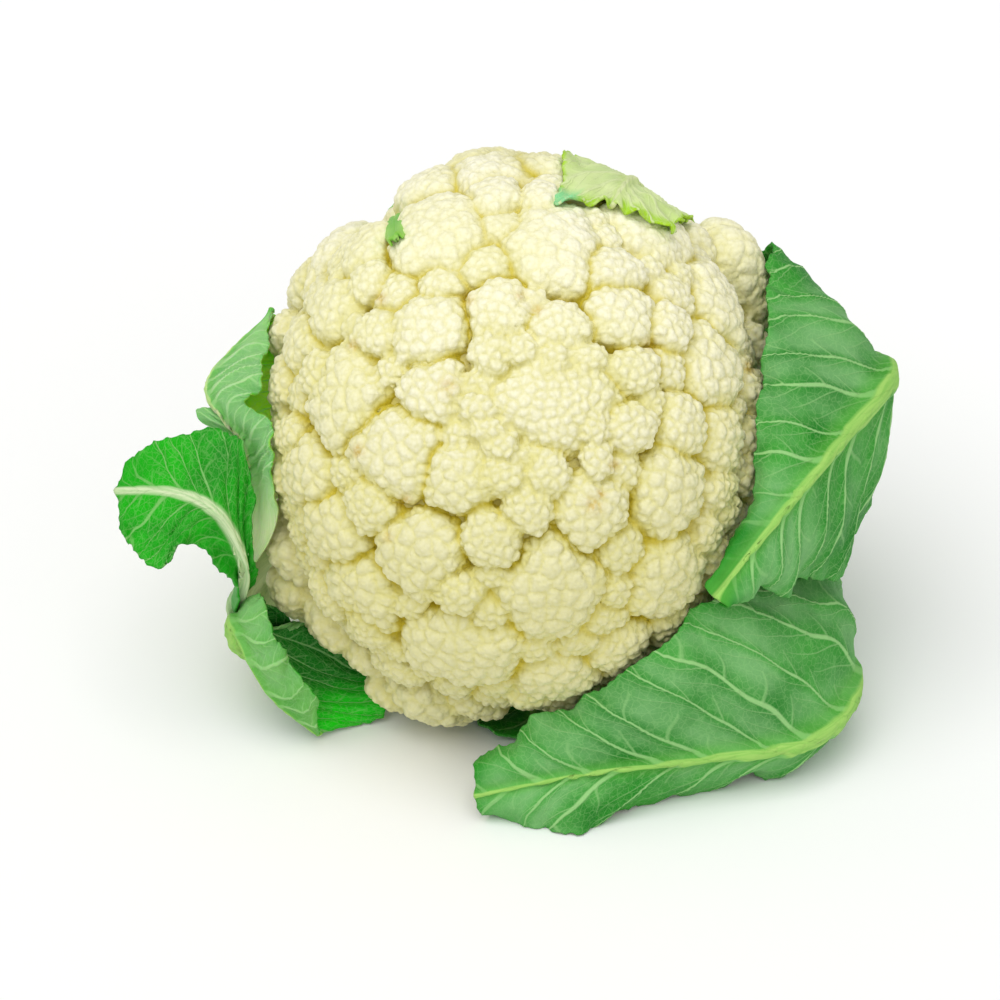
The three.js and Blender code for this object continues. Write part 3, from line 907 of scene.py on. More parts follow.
class CAULIFLOWER_OT_stalk(bpy.types.Operator):
    """Grow the short cut stalk"""

    bl_idname = "cauliflower.stalk"
    bl_label = "Grow the stalk"

    def execute(self, context):
        settings = context.scene.stalk_settings
        deselect()
        bpy.ops.mesh.primitive_cylinder_add(vertices=60, radius=1, depth=1, end_fill_type="TRIFAN")
        piece = bpy.context.object
        bpy.ops.object.mode_set(mode="EDIT")
        bpy.ops.mesh.select_all(action="SELECT")
        bpy.ops.mesh.subdivide(number_cuts=8)
        bpy.ops.object.mode_set(mode="OBJECT")
        points = get_points(piece.data)
        radial = np.hypot(points[:, 0], points[:, 1])
        angle = np.arctan2(points[:, 1], points[:, 0])
        low, high = STALK_CUT_Z + 0.2, UNDERSIDE_Z + 4
        z = low + (points[:, 2] + 0.5) * (high - low)
        side = np.clip((radial - 0.9) / 0.1, 0, 1)
        swell = np.sin(3 * angle + 0.5) + 0.85 * np.sin(5 * angle + z * 0.05) + 0.57 * np.sin(z * 0.9)
        swell *= settings.uneven / MM
        radius = STALK_RADIUS - 0.7 + swell * side
        rounded = np.clip((z - low) / 3, 0, 1)
        radius = radius - 2.2 * (1 - np.sqrt(1 - (1 - rounded) ** 2)) * side
        cut_rise = 0.5 * np.sin(radial * 9) * np.exp(-radial) + 0.35 * np.sin(2 * points[:, 0] * 3)
        is_cut = (points[:, 2] < -0.499) & (radial < 0.995)
        z = z + np.where(is_cut, 0.3 + 0.25 * cut_rise, 0)
        placed = np.stack((points[:, 0] * radius, points[:, 1] * radius, z), axis=1)
        mesh = piece.data
        set_points(mesh, to_row(placed))
        keep_number(mesh, "cut", (points[:, 2] < -0.499).astype(float))
        keep_number(mesh, "ring", np.clip((radial - 0.72) / 0.1, 0, 1) * np.clip((0.9 - radial) / 0.06, 0, 1))
        finish_piece(piece, "stalk_skin", "stalk", stalk_material(settings))
        return {"FINISHED"}


# ---- The leaves ----

# A leaf follows three lines from the stalk to its tip: its rib, and the margins after and before it as one
# goes round the stalk anticlockwise, seen from the front. They are the frame's own lines.
LEAVES = (
    dict(
        name="leaf_right", deg=8, start=-83,
        rib=((58, 11, -74), (97, 20, -42), (115.5, 19, -4), (97, -4, 28), (78, -27, 40), (59.5, -51, 37)),
        after=((54, 27, -76), (76, 56, -44), (79, 54, -4), (75, 20, 24), (71, -19, 36), (57.5, -49, 35)),
        before=(
            (56, -6, -76), (94, -16, -50), (109, -12, -24), (101, -41, -2), (83, -48, 22), (61, -53, 35),
        ),
        rib_width=17, rib_depth=6.5, wave=2.2, waves=7, belly=(4, 5), rows=26, pitch=1.3,
        vein_gap=17, stem=0.2, clear=0.9, spread=1,
    ),
    dict(
        name="leaf_lower_right", deg=-38, start=-71,
        rib=(
            (48, -38, -67), (84, -58, -48), (104, -76, -14), (91, -94, 6), (58, -99.5, 16), (20, -105, 21),
            (-15, -112, 19),
        ),
        after=(
            (60, -22, -66), (94, -34, -46), (98, -44, -18), (72, -44, 16), (46, -60, 34), (12, -83, 22),
            (-12, -101, 16),
        ),
        before=(
            (36, -51, -68), (68, -76, -42), (90, -97, -20), (82, -106, -5), (50, -112, 3), (15, -124, 18.5),
            (-9, -117, 9),
        ),
        rib_width=17, rib_depth=6.5, wave=1.8, waves=7, belly=(6, 3), rows=30, pitch=1.35,
        vein_gap=19, stem=0.16, clear=0.9, spread=1,
    ),
    dict(
        name="leaf_under", deg=-84, start=-83,
        rib=((2, -40, -79), (3, -60, -68), (4, -76, -48), (5, -88, -30), (5, -97, -14)),
        after=((14, -38, -79), (22, -59, -68), (27, -75, -47), (27, -87, -29), (17, -94, -14)),
        before=((-10, -39, -79), (-16, -59, -68), (-20, -75, -47), (-18, -87, -29), (-6, -95, -14)),
        rib_width=17, rib_depth=6, wave=0.6, waves=5, belly=(1, 1), rows=18, pitch=1.8,
        vein_gap=14, stem=0.25, clear=0.9, spread=1,
    ),
    dict(
        name="leaf_lower_left", deg=-124, start=-71,
        rib=(
            (-38, -50, -67), (-66, -70, -44), (-86, -67, -18), (-87.5, -60, -5), (-77, -81, -8),
            (-61, -96, -19),
        ),
        after=(
            (-28, -56, -69), (-50, -72, -50), (-60, -66, -36), (-60, -57, -26), (-46, -75, -30),
            (-41.5, -90, -25),
        ),
        before=(
            (-46, -42, -66), (-62, -60, -46), (-67, -58, -24), (-80, -49, 0), (-74, -66, 3),
            (-62, -84.5, -6),
        ),
        rib_width=16, rib_depth=6, wave=1.6, waves=5, belly=(3, 3), rows=22, pitch=1.3,
        vein_gap=11, stem=0.12, clear=0.9, spread=1,
    ),
    dict(
        name="leaf_left", deg=-158, start=-83,
        rib=(
            (-52, -28, -77), (-80, -46, -57), (-86, -57, -33), (-86, -54, -9), (-84, -42, 9),
            (-92.5, -25, 20), (-107, -18.5, 18), (-127, -18, 8),
        ),
        after=(
            (-47, -37, -78), (-73, -54, -60), (-78, -62, -38), (-88, -58, -12), (-88, -49, 6),
            (-101, -34, 18), (-113, -42, 20), (-124.5, -29, 12),
        ),
        before=(
            (-55, -18, -78), (-84, -38, -55), (-89, -50, -28), (-82, -46, -4), (-82.5, -30, 14),
            (-85, -3, 19), (-104, 0, 11), (-124, -10, 4),
        ),
        rib_width=16, rib_depth=6, wave=1.8, waves=6, belly=(3, 2), rows=28, pitch=1.15,
        vein_gap=11, stem=0.4, clear=0.9, spread=1,
    ),
    dict(
        name="leaf_upper_left", deg=176, start=-71,
        rib=(
            (-52, 4, -66), (-80, -18, -44), (-85, -36, -18), (-81.5, -30, 0), (-81, -10, 8), (-84, -1, 12),
            (-91, 6, 11), (-95.3, 15, 6), (-87, 27, -2), (-75.5, 38, -6),
        ),
        after=(
            (-53, -5, -68), (-80, -27, -48), (-85, -43, -13), (-76, -31, 8), (-72, -12, 20), (-75, 2, 24),
            (-83.5, 9, 20), (-80, 14, 19), (-78, 26, 8), (-75.3, 38, -5),
        ),
        before=(
            (-50, 13, -66), (-79, -9, -44), (-86, -29, -24), (-81, -29, -11), (-80, -12, -6), (-92, -2, 4),
            (-99.5, 7, 4), (-77, 3, -12), (-75, 22, -13), (-74.5, 37, -9),
        ),
        rib_width=15, rib_depth=5.5, wave=1.2, waves=6, belly=(2, 1), rows=34, pitch=1.2,
        vein_gap=9, stem=0.4, clear=0.3, spread=0.4,
    ),
    dict(
        name="leaf_back_left", deg=115, start=-83,
        rib=(
            (-22, 46, -77), (-31, 60, -54), (-34, 65, -26), (-36.5, 65, 6), (-36.8, 63, 27),
            (-36.6, 57.6, 45),
        ),
        after=(
            (-36, 40, -77), (-48, 50, -54), (-44, 58, -27), (-40.5, 62, 6), (-41, 60.8, 27),
            (-38.4, 56, 43.5),
        ),
        before=(
            (-8, 50, -77), (-14, 67, -54), (-24, 71, -27), (-32.5, 66.5, 6), (-32.8, 64.6, 27),
            (-35, 58.4, 45),
        ),
        rib_width=16, rib_depth=5, wave=0, waves=5, belly=(2, 2), rows=22, pitch=1.4,
        vein_gap=9, stem=0.3, clear=-1, spread=0, buried=6, pressed=-7, cut=0.25,
    ),
    dict(
        name="leaf_top", deg=62, start=-71,
        rib=((22, 44, -66), (33, 68, -46), (38, 74, -20), (33, 75, 4), (27, 63.5, 37)),
        after=((10, 50, -66), (18, 74, -46), (20, 84, -18), (14, 84, 8), (11.5, 66.5, 44)),
        before=((34, 36, -68), (52, 54, -46), (54, 62, -20), (48, 62, 8), (46, 58.5, 38)),
        rib_width=16, rib_depth=5.5, wave=1.2, waves=6, belly=(2, 1.5), rows=20, pitch=1.15,
        vein_gap=8, stem=0.3, clear=0.5, spread=0, ruffle=1.8, quilt=0.5,
    ),
)
HALF_COLUMNS = 4
FOOT_SINK = 1.5

# How the side veins run from the rib: how they lean, start out along it and curve, how they sway and curl,
# and how far apart their forks are, how these lean and how they step from vein to vein.
VEIN_LEAN, VEIN_START, START_REACH, VEIN_CURVE = 0.5, 10.0, 4.0, 0.01
VEIN_SWAY, SWAY_TURNS = 2.2, 0.19
VEIN_CURL, CURL_TURNS, CURL_SHIFT = 0.8, 0.31, 0.4
FORK_GAP, FORK_LEAN, FORK_STEP, FORK_SLANT = 0.55, 1.05, 0.37, 0.69


def smooth_line(points, shares):
    """Places along a smooth line through the points, for shares from 0 to 1."""
    points = np.asarray(points, dtype=float)
    ends = np.concatenate(([2 * points[0] - points[1]], points, [2 * points[-1] - points[-2]]))
    at = np.clip(shares * (len(points) - 1), 0, len(points) - 1 - 1e-9)
    index = at.astype(int)
    t = (at - index).reshape(-1, *([1] * (points.ndim - 1)))
    p0, p1, p2, p3 = (ends[index + k] for k in range(4))
    bend = 2 * p0 - 5 * p1 + 4 * p2 - p3
    cubic = 3 * (p1 - p2) + p3 - p0
    return 0.5 * (2 * p1 + (p2 - p0) * t + bend * t**2 + cubic * t**3)


def leaf_foot(leaf):
    """Where a leaf starts on the stalk: the middle and the two sides of its rib."""
    angle = math.radians(leaf["deg"])
    out = (STALK_RADIUS - FOOT_SINK) * np.array((math.cos(angle), math.sin(angle)))
    beside = np.array((-math.sin(angle), math.cos(angle)))
    sides = (0, leaf["rib_width"] / 2, -leaf["rib_width"] / 2)
    return [(*(out + side * beside), leaf["start"]) for side in sides]


def grid_normals(grid):
    along = np.gradient(grid, axis=0)
    across = np.gradient(grid, axis=1)
    return unit(np.cross(along, across))


def spread_most(grid):
    """Each entry's greatest neighbour, smoothed."""
    for axis in (0, 1):
        padded = np.concatenate((grid.take([0], axis), grid, grid.take([-1], axis)), axis=axis)
        count = grid.shape[axis]
        grid = np.max([padded.take(range(k, k + count), axis) for k in range(3)], axis=0)
    for axis in (0, 1):
        padded = np.concatenate((grid.take([0], axis), grid, grid.take([-1], axis)), axis=axis)
        count = grid.shape[axis]
        low, middle, high = (padded.take(range(k, k + count), axis) for k in range(3))
        grid = (low + 2 * middle + high) / 4
    return grid


def lay_on_head(grid, clearance, spread):
    """Pushes a blade out to where it lies on the florets. spread is how far it bridges their dents."""
    reach = np.linalg.norm(grid, axis=2)
    ways = grid / reach[..., None]
    least = head_reach(ways.reshape(-1, 3), clearance).reshape(reach.shape)
    push = np.maximum(0, least - reach)
    return ways * (reach + push + spread * (spread_most(push) - push))[..., None]


def clear_florets(surface, pitch, clearance):
    """Pushes a fine blade off the grown florets, evenly, so that none comes through it.

    clearance is a number for each row.
    """
    reach = np.linalg.norm(surface, axis=2)
    ways = surface / reach[..., None]
    flat = ways.reshape(-1, 3)
    far = np.zeros(len(flat))
    for floret in grown_florets():
        met, out = floret.reach(flat)
        far[met] = np.maximum(far[met], out + 0.6)
    push = np.maximum(0, far.reshape(reach.shape) + clearance[:, None] - reach)
    for _ in range(max(1, round(2.4 / pitch))):
        push = spread_most(push)
    return ways * (reach + push)[..., None]


def refine(grid, rows, columns):
    """A finer grid on the smooth surface through a coarse one."""
    tall = smooth_line(grid, np.linspace(0, 1, rows))
    wide = smooth_line(tall.transpose(1, 0, 2), np.linspace(0, 1, columns))
    return wide.transpose(1, 0, 2)


def rib_size(leaf, share):
    left = 1 - share
    half = leaf["rib_width"] / 2 * (0.12 + 0.88 * left**1.4)
    depth = leaf["rib_depth"] * (0.12 + 0.88 * left**1.2)
    return half, depth


def margin_shape(arc, rng, depth):
    """How far a margin is cut in along its length: broad waves with small teeth on them."""
    phase = rng.random(3) * 6.283
    broad = np.sin(arc / 3.2 + phase[0] + 1.3 * np.sin(arc / 9 + phase[1]))
    teeth = np.abs(np.sin(arc / 1.25 + 0.8 * np.sin(arc / 5 + phase[2]))) - 0.5
    return depth * (broad + teeth)


def vein_gaps(x, y, after, leaf):
    """How far points at x along the rib and y from it are from the nearest side vein and fork."""
    gap = leaf["vein_gap"]
    near = np.exp(-y / START_REACH)
    root = x - VEIN_LEAN * y - VEIN_START * (1 - near) - VEIN_CURVE * y**2
    slope = VEIN_LEAN + VEIN_START / START_REACH * near + 2 * VEIN_CURVE * y
    root = root + VEIN_SWAY * np.sin(SWAY_TURNS * root + leaf["deg"])
    root = root + VEIN_CURL * np.sin(CURL_TURNS * y + CURL_SHIFT * root)
    count = root / gap + 0.5 * after
    number = np.floor(count)
    aside = count - number - 0.5
    main = np.abs(aside) * gap / np.sqrt(1 + slope**2)
    forks = (y - FORK_LEAN * np.abs(aside) * gap) / (FORK_GAP * gap) + FORK_STEP * number + 0.5 * (aside > 0)
    fork = np.abs(forks - np.floor(forks) - 0.5) * FORK_GAP * gap * FORK_SLANT
    return main, fork


def sample_rows(grid, at):
    """A grid's columns, each taken at its own fractional rows."""
    low = np.clip(at.astype(int), 0, len(grid) - 2)
    share = (at - low)[..., None]
    column = np.arange(grid.shape[1])[None]
    return grid[low, column] * (1 - share) + grid[low + 1, column] * share


def leaf_surface(leaf):
    """A leaf's smooth blade as a coarse grid, with its rib and widths."""
    shares = np.linspace(0, 1, leaf["rows"] + 1)
    foot = leaf_foot(leaf)
    rib = smooth_line((foot[0], *leaf["rib"]), shares)
    after = smooth_line((foot[1], *leaf["after"]), shares)
    before = smooth_line((foot[2], *leaf["before"]), shares)
    outs = np.linspace(-1, 1, 2 * HALF_COLUMNS + 1)
    grid = np.stack([rib + ((after if out < 0 else before) - rib) * abs(out) for out in outs], axis=1)
    normals = grid_normals(grid)
    turn = np.sign((normals[2, HALF_COLUMNS] * grid[2, HALF_COLUMNS]).sum()) or 1
    belly = np.where(outs < 0, leaf["belly"][0], leaf["belly"][1]) * np.sin(np.pi * np.abs(outs))
    swell = np.minimum(1, 2 * shares)[:, None] * belly[None]
    clearance = leaf.get("pressed", leaf["clear"])
    grid = lay_on_head(grid + normals * turn * swell[..., None], clearance, leaf["spread"])
    widths = np.linalg.norm(after - rib, axis=1), np.linalg.norm(before - rib, axis=1)
    length = np.linalg.norm(np.diff(rib, axis=0), axis=1).sum()
    return grid, turn, shares, length, widths


def grow_leaf(leaf, settings, material):
    name = leaf["name"]
    rng = np.random.default_rng(sum(map(ord, name)))
    coarse, turn, shares, length, widths = leaf_surface(leaf)
    pitch = leaf["pitch"] * 1
    rows = int(length / pitch)
    half_columns = int(np.max(widths) / pitch) + 6
    wide = 2 * half_columns + 1
    s = np.linspace(0, 1, rows)[:, None]
    clearance = leaf["clear"] - leaf.get("buried", 0) * np.clip(s[:, 0] * 6 - 2.4, 0, 1)
    surface = clear_florets(refine(coarse, rows, wide), pitch, clearance)
    t = np.linspace(-1, 1, wide)[None]
    side = (t > 0) * 1
    width = np.where(t < 0, np.interp(s, shares, widths[0]), np.interp(s, shares, widths[1]))
    x = s * length + 0 * t
    y = np.abs(t) * width
    free = np.clip((s - leaf["stem"]) / 0.12, 0, 1)
    broad = free * np.clip((width - 5) / 12, 0, 1)

    # The margins and the tip are cut in small waves and teeth.
    cut_depth = leaf.get("cut", 1)
    end = 1.2 + 0.7 * np.sin(t * 5 + rng.random() * 6) + 0.5 * np.abs(np.sin(t * width[-1] / 1.3))
    end *= cut_depth
    surface = sample_rows(surface, (rows - 1) * s * (1 - end * np.clip(2 * s - 1, 0, 1) / length))
    middle = surface[:, half_columns][:, None]
    for which in (0, 1):
        edge = surface[:, -which]
        arc = np.concatenate(([0], np.cumsum(np.linalg.norm(np.diff(edge, axis=0), axis=1))))
        cut = margin_shape(arc, rng, settings.tooth_depth / MM)[:, None] * free * cut_depth
        pull = np.where(side == which, cut / np.maximum(4, width) * np.abs(t) ** 2, 0)
        surface = middle + (surface - middle) * (1 - pull)[..., None]

    # The blade waves towards its margins and bulges between its side veins.
    normals = grid_normals(surface) * turn
    phase = 2 * np.pi * leaf["waves"] * s + 2 * side
    waves = leaf["wave"] * t**2 * np.sin(phase + 0.9 * np.sin(phase * 0.61 + 1))
    crimp = 0.6 * np.abs(t) ** 5 * np.sin(phase * 3.7 + 2 * np.sin(phase * 0.5))
    main, fork = vein_gaps(x, y, side == 0, leaf)
    bulge = 1 - np.exp(-((main / (0.2 * leaf["vein_gap"])) ** 2)) * 0.9 - np.exp(-((fork / 1.5) ** 2)) * 0.3
    bulge *= np.clip(y / 7, 0, 1) * np.clip((1 - np.abs(t)) * 7, 0, 1)
    relief = -leaf.get("quilt", 1.0) * settings.quilting / MM * bulge + 0.35 * np.exp(-((main / 0.9) ** 2))
    to_tip = (1 - s) * length
    ruffle = leaf.get("ruffle", 0) * np.exp(-to_tip / 2.4)
    ruffle = ruffle * (0.8 + np.sin(t * width[-1] / 1.1 + 1.5 * np.sin(5 * t)))
    surface = surface + normals * (broad * (waves + crimp + relief) + ruffle)[..., None]
    normals = grid_normals(surface) * turn

    # The rib stands out on the outer face.
    rib_half, rib_depth = rib_size(leaf, s)
    rib_half = np.minimum(rib_half, 0.9 * width)
    beside = y / rib_half
    rib_out = rib_depth * (np.sqrt(np.maximum(0, 1 - beside**2)) + 0.2 * np.exp(-((beside / 1.5) ** 2)))
    half_thickness = settings.thickness / MM / 2
    outer = surface + normals * (half_thickness + rib_out)[..., None]
    inner = surface - normals * half_thickness

    deselect()
    bpy.ops.mesh.primitive_grid_add(x_subdivisions=wide - 1, y_subdivisions=rows - 1, size=2)
    piece = bpy.context.object
    drawn = get_points(piece.data)
    column = np.rint((drawn[:, 0] + 1) / 2 * (wide - 1)).astype(int)
    row = np.rint((drawn[:, 1] + 1) / 2 * (rows - 1)).astype(int)
    set_points(piece.data, outer[row, column])
    apply_modifier(piece, "Solidify", "SOLIDIFY", thickness=1, offset=-1)
    mesh = piece.data
    points = np.concatenate((outer[row, column], inner[row, column]))
    lift = np.maximum(0, 0.25 - np.minimum(height_of(outer), height_of(inner)))[row, column]
    points += np.concatenate((lift, lift))[:, None] * (np.array((0, 0, 1)) @ HEAD_TURN)
    set_points(mesh, to_row(points))
    shape = bmesh.new()
    shape.from_mesh(mesh)
    bmesh.ops.recalc_face_normals(shape, faces=shape.faces)
    shape.to_mesh(mesh)
    shape.free()
    numbers = {
        "along_mm": x,
        "across_mm": np.where(side == 1, y, -y),
        "half_mm": width,
        "rib_mm": rib_half + 0 * t,
        "to_tip_mm": to_tip + 0 * t,
        "free": broad,
        "stem": 1 - np.clip((s - leaf["stem"]) / 0.1, 0, 1) + 0 * t,
    }
    for key, values in numbers.items():
        chosen = np.broadcast_to(values, (rows, wide))[row, column]
        keep_number(mesh, key, np.concatenate((chosen, chosen)))
    keep_number(mesh, "inner", np.repeat((0.0, 1.0), len(drawn)))
    finish_piece(piece, name + "_blade", name, material)


def vein_nodes(nodes, x, y, after, leaf):
    """The same side veins and forks as vein_gaps, in a material."""
    gap = leaf["vein_gap"]
    near = nodes.math("EXPONENT", nodes.over(y, -START_REACH))
    root = nodes.minus(x, nodes.times(y, VEIN_LEAN))
    root = nodes.minus(root, nodes.times(nodes.minus(1.0, near), VEIN_START))
    root = nodes.minus(root, nodes.times(nodes.times(y, y), VEIN_CURVE))
    slope = nodes.plus(nodes.times(y, 2 * VEIN_CURVE), VEIN_LEAN)
    slope = nodes.plus(nodes.times(near, VEIN_START / START_REACH), slope)
    sway = nodes.math("SINE", nodes.plus(nodes.times(root, SWAY_TURNS), float(leaf["deg"])))
    root = nodes.plus(root, nodes.times(sway, VEIN_SWAY))
    curl = nodes.math("SINE", nodes.plus(nodes.times(y, CURL_TURNS), nodes.times(root, CURL_SHIFT)))
    root = nodes.plus(root, nodes.times(curl, VEIN_CURL))
    count = nodes.plus(nodes.over(root, gap), nodes.times(after, 0.5))
    number = nodes.math("FLOOR", count)
    aside = nodes.minus(nodes.minus(count, number), 0.5)
    off = nodes.times(nodes.math("ABSOLUTE", aside), gap)
    main = nodes.over(off, nodes.math("SQRT", nodes.plus(nodes.times(slope, slope), 1.0)))
    forks = nodes.over(nodes.minus(y, nodes.times(off, FORK_LEAN)), FORK_GAP * gap)
    forks = nodes.plus(forks, nodes.times(number, FORK_STEP))
    forks = nodes.plus(forks, nodes.times(nodes.math("GREATER_THAN", aside, 0.0), 0.5))
    fork = nodes.minus(nodes.minus(forks, nodes.math("FLOOR", forks)), 0.5)
    fork = nodes.times(nodes.math("ABSOLUTE", fork), FORK_GAP * gap * FORK_SLANT)
    return main, fork, nodes.math("ABSOLUTE", aside)


def leaf_material(leaf, look):
    """A leaf's finish: its two faces, bloom, rib, side veins, forks and fine net of veins."""
    nodes = Nodes(leaf["name"] + "_skin")
    place = nodes.add("ShaderNodeTexCoord").outputs["Object"]
    x, across = nodes.number("along_mm"), nodes.number("across_mm")
    y = nodes.math("ABSOLUTE", across)
    after = nodes.math("LESS_THAN", across, 0.0)
    main, fork, aside = vein_nodes(nodes, x, y, after, leaf)
    free, inner = nodes.number("free"), nodes.number("inner")
    share = nodes.over(y, nodes.number("half_mm"))
    flat = nodes.add("ShaderNodeCombineXYZ", {"X": x, "Y": across}).outputs["Vector"]
    sway = nodes.add("ShaderNodeTexNoise", {"Vector": flat, "Scale": 0.3, "Detail": 2.0}).outputs["Color"]
    swayed = nodes.add("ShaderNodeMix", {"Factor": 0.5}, data_type="VECTOR")
    nodes.put(flat, swayed.inputs[4])
    nodes.put(sway, swayed.inputs[5])
    net = nodes.voronoi(swayed.outputs[1], 0.85, "DISTANCE_TO_EDGE")
    fine_net = nodes.voronoi(swayed.outputs[1], 2.2, "DISTANCE_TO_EDGE")
    patches = nodes.noise(place, 40, 4, 0.6)
    fine = nodes.noise(place, 1400, 3)

    def line(distance, half, soft):
        return nodes.minus(1.0, nodes.ramp(distance, half, half + soft))

    thin = nodes.minus(1.0, nodes.times(share, 0.6))
    main_line = nodes.times(line(nodes.over(main, thin), 0.3, 0.55), free)
    fork_line = nodes.times(line(fork, 0.08, 0.34), nodes.minus(1.1, aside))
    fork_line = nodes.times(fork_line, free)
    net_line = nodes.times(line(net, 0.0, 0.09), free)
    fine_line = nodes.times(line(fine_net, 0.0, 0.14), free)
    near = nodes.times(line(main, 0.2, 0.24 * leaf["vein_gap"]), free)

    outer = nodes.mix(nodes.ramp(patches, 0.3, 0.7), look["outer_dark"], look["outer_light"])
    bloom = nodes.ramp(nodes.noise(place, 21, 4, 0.55), 0.4, 0.66)
    bloom = nodes.times(bloom, nodes.minus(1.0, nodes.times(near, 0.75)))
    outer = nodes.mix(nodes.times(bloom, look["bloom"]), outer, look["bloom_colour"])
    face = nodes.mix(nodes.ramp(patches, 0.3, 0.7), look["inner_dark"], look["inner_light"])
    to_tip = nodes.number("to_tip_mm")
    # Painted shade: where a leaf has a deep colour, its inner face darkens towards it further than 10 to 34
    # millimetres from the tip.
    if "deep" in look:
        face = nodes.mix(nodes.ramp(to_tip, 10, 34), face, look["deep"])
    blade = nodes.mix(inner, outer, face)
    at_tip = nodes.minus(1.0, nodes.ramp(to_tip, 1.2, look["edge_wide"]))
    margin = nodes.math("MAXIMUM", nodes.ramp(share, 0.93, 1.0), at_tip)
    blade = nodes.mix(nodes.times(margin, look["edge_share"]), blade, look["edge"])
    if "corner" in look:
        from_side = nodes.plus(nodes.number("half_mm"), across)
        corner = nodes.minus(1.0, nodes.ramp(nodes.math("MAXIMUM", from_side, to_tip), 3.5, 8.0))
        blade = nodes.mix(corner, blade, look["corner"])
    blade = nodes.mix(nodes.times(fine_line, 0.1), blade, look["vein"])
    blade = nodes.mix(nodes.times(net_line, 0.2), blade, look["vein"])
    plain = nodes.minus(1.0, nodes.times(inner, 0.3))
    blade = nodes.mix(nodes.times(nodes.times(fork_line, 0.4), plain), blade, look["vein"])
    blade = nodes.mix(nodes.times(nodes.times(main_line, 0.85), plain), blade, look["vein"])
    beside = nodes.over(y, nodes.number("rib_mm"))
    blade = nodes.mix(nodes.times(line(beside, 0.5, 2.2), 0.5), blade, look["beside"])
    drawn_out = nodes.add("ShaderNodeCombineXYZ", {"X": nodes.times(x, 0.04), "Y": across})
    streaks = nodes.noise(drawn_out.outputs[0], 1.6, 3)
    rib = nodes.mix(nodes.ramp(streaks, 0.35, 0.7), look["rib"], look["beside"])
    rib = nodes.mix(0.6, rib, look["rib"])
    blade = nodes.mix(line(beside, look["rib_share"], look["rib_soft"]), blade, rib)
    stem = nodes.mix(nodes.ramp(streaks, 0.3, 0.75), look["stem"], look["rib"])
    colour = nodes.mix(nodes.times(nodes.number("stem"), 0.9), blade, stem)
    nodes.put(colour, nodes.shader.inputs["Base Color"])

    height = nodes.plus(main_line, nodes.times(fork_line, 0.6))
    height = nodes.plus(height, nodes.times(fine, 0.5))
    height = nodes.plus(height, nodes.times(streaks, nodes.number("stem")))
    nodes.put(nodes.bump(height, 0.5, 0.0005), nodes.shader.inputs["Normal"])
    nodes.put(nodes.ramp(patches, -1.2, 1.6), nodes.shader.inputs["Roughness"])
    nodes.shader.inputs["Specular IOR Level"].default_value = 0.2
    nodes.shader.inputs["Subsurface Weight"].default_value = look["glow"]
    nodes.shader.inputs["Subsurface Radius"].default_value = (0.4, 1.0, 0.2)
    nodes.shader.inputs["Subsurface Scale"].default_value = 0.002
    return nodes.material


class LeafSettings(bpy.types.PropertyGroup):
    thickness: length_setting("Thickness", "Thickness of a leaf's blade", 0.8, max=0.003)
    tooth_depth: length_setting("Tooth depth", "How deep the teeth of the margins are", 0.8, max=0.002)
    quilting: length_setting("Quilting", "How far the blade bulges between its side veins", 1.0, max=0.003)
    outer_dark: colour_setting("Outer dark", "Darker patches of the outer face", 10, 120, 18)
    outer_light: colour_setting("Outer light", "Lighter patches of the outer face", 60, 156, 50)
    bloom_colour: colour_setting("Bloom", "Waxy bloom on the outer face", 130, 184, 120)
    inner_dark: colour_setting("Inner dark", "Darker patches of the inner face", 0, 104, 4)
    inner_light: colour_setting("Inner light", "Lighter patches of the inner face", 14, 158, 10)
    edge: colour_setting("Margin", "Along the margin", 40, 150, 30)
    vein: colour_setting("Side veins", "Side veins and their forks", 156, 208, 132)
    rib: colour_setting("Rib", "The rib down the middle", 162, 210, 104)
    beside: colour_setting("Beside the rib", "The blade next to its rib", 96, 178, 62)
    stem: colour_setting("Leaf stalk", "The rib below the blade", 222, 232, 186)


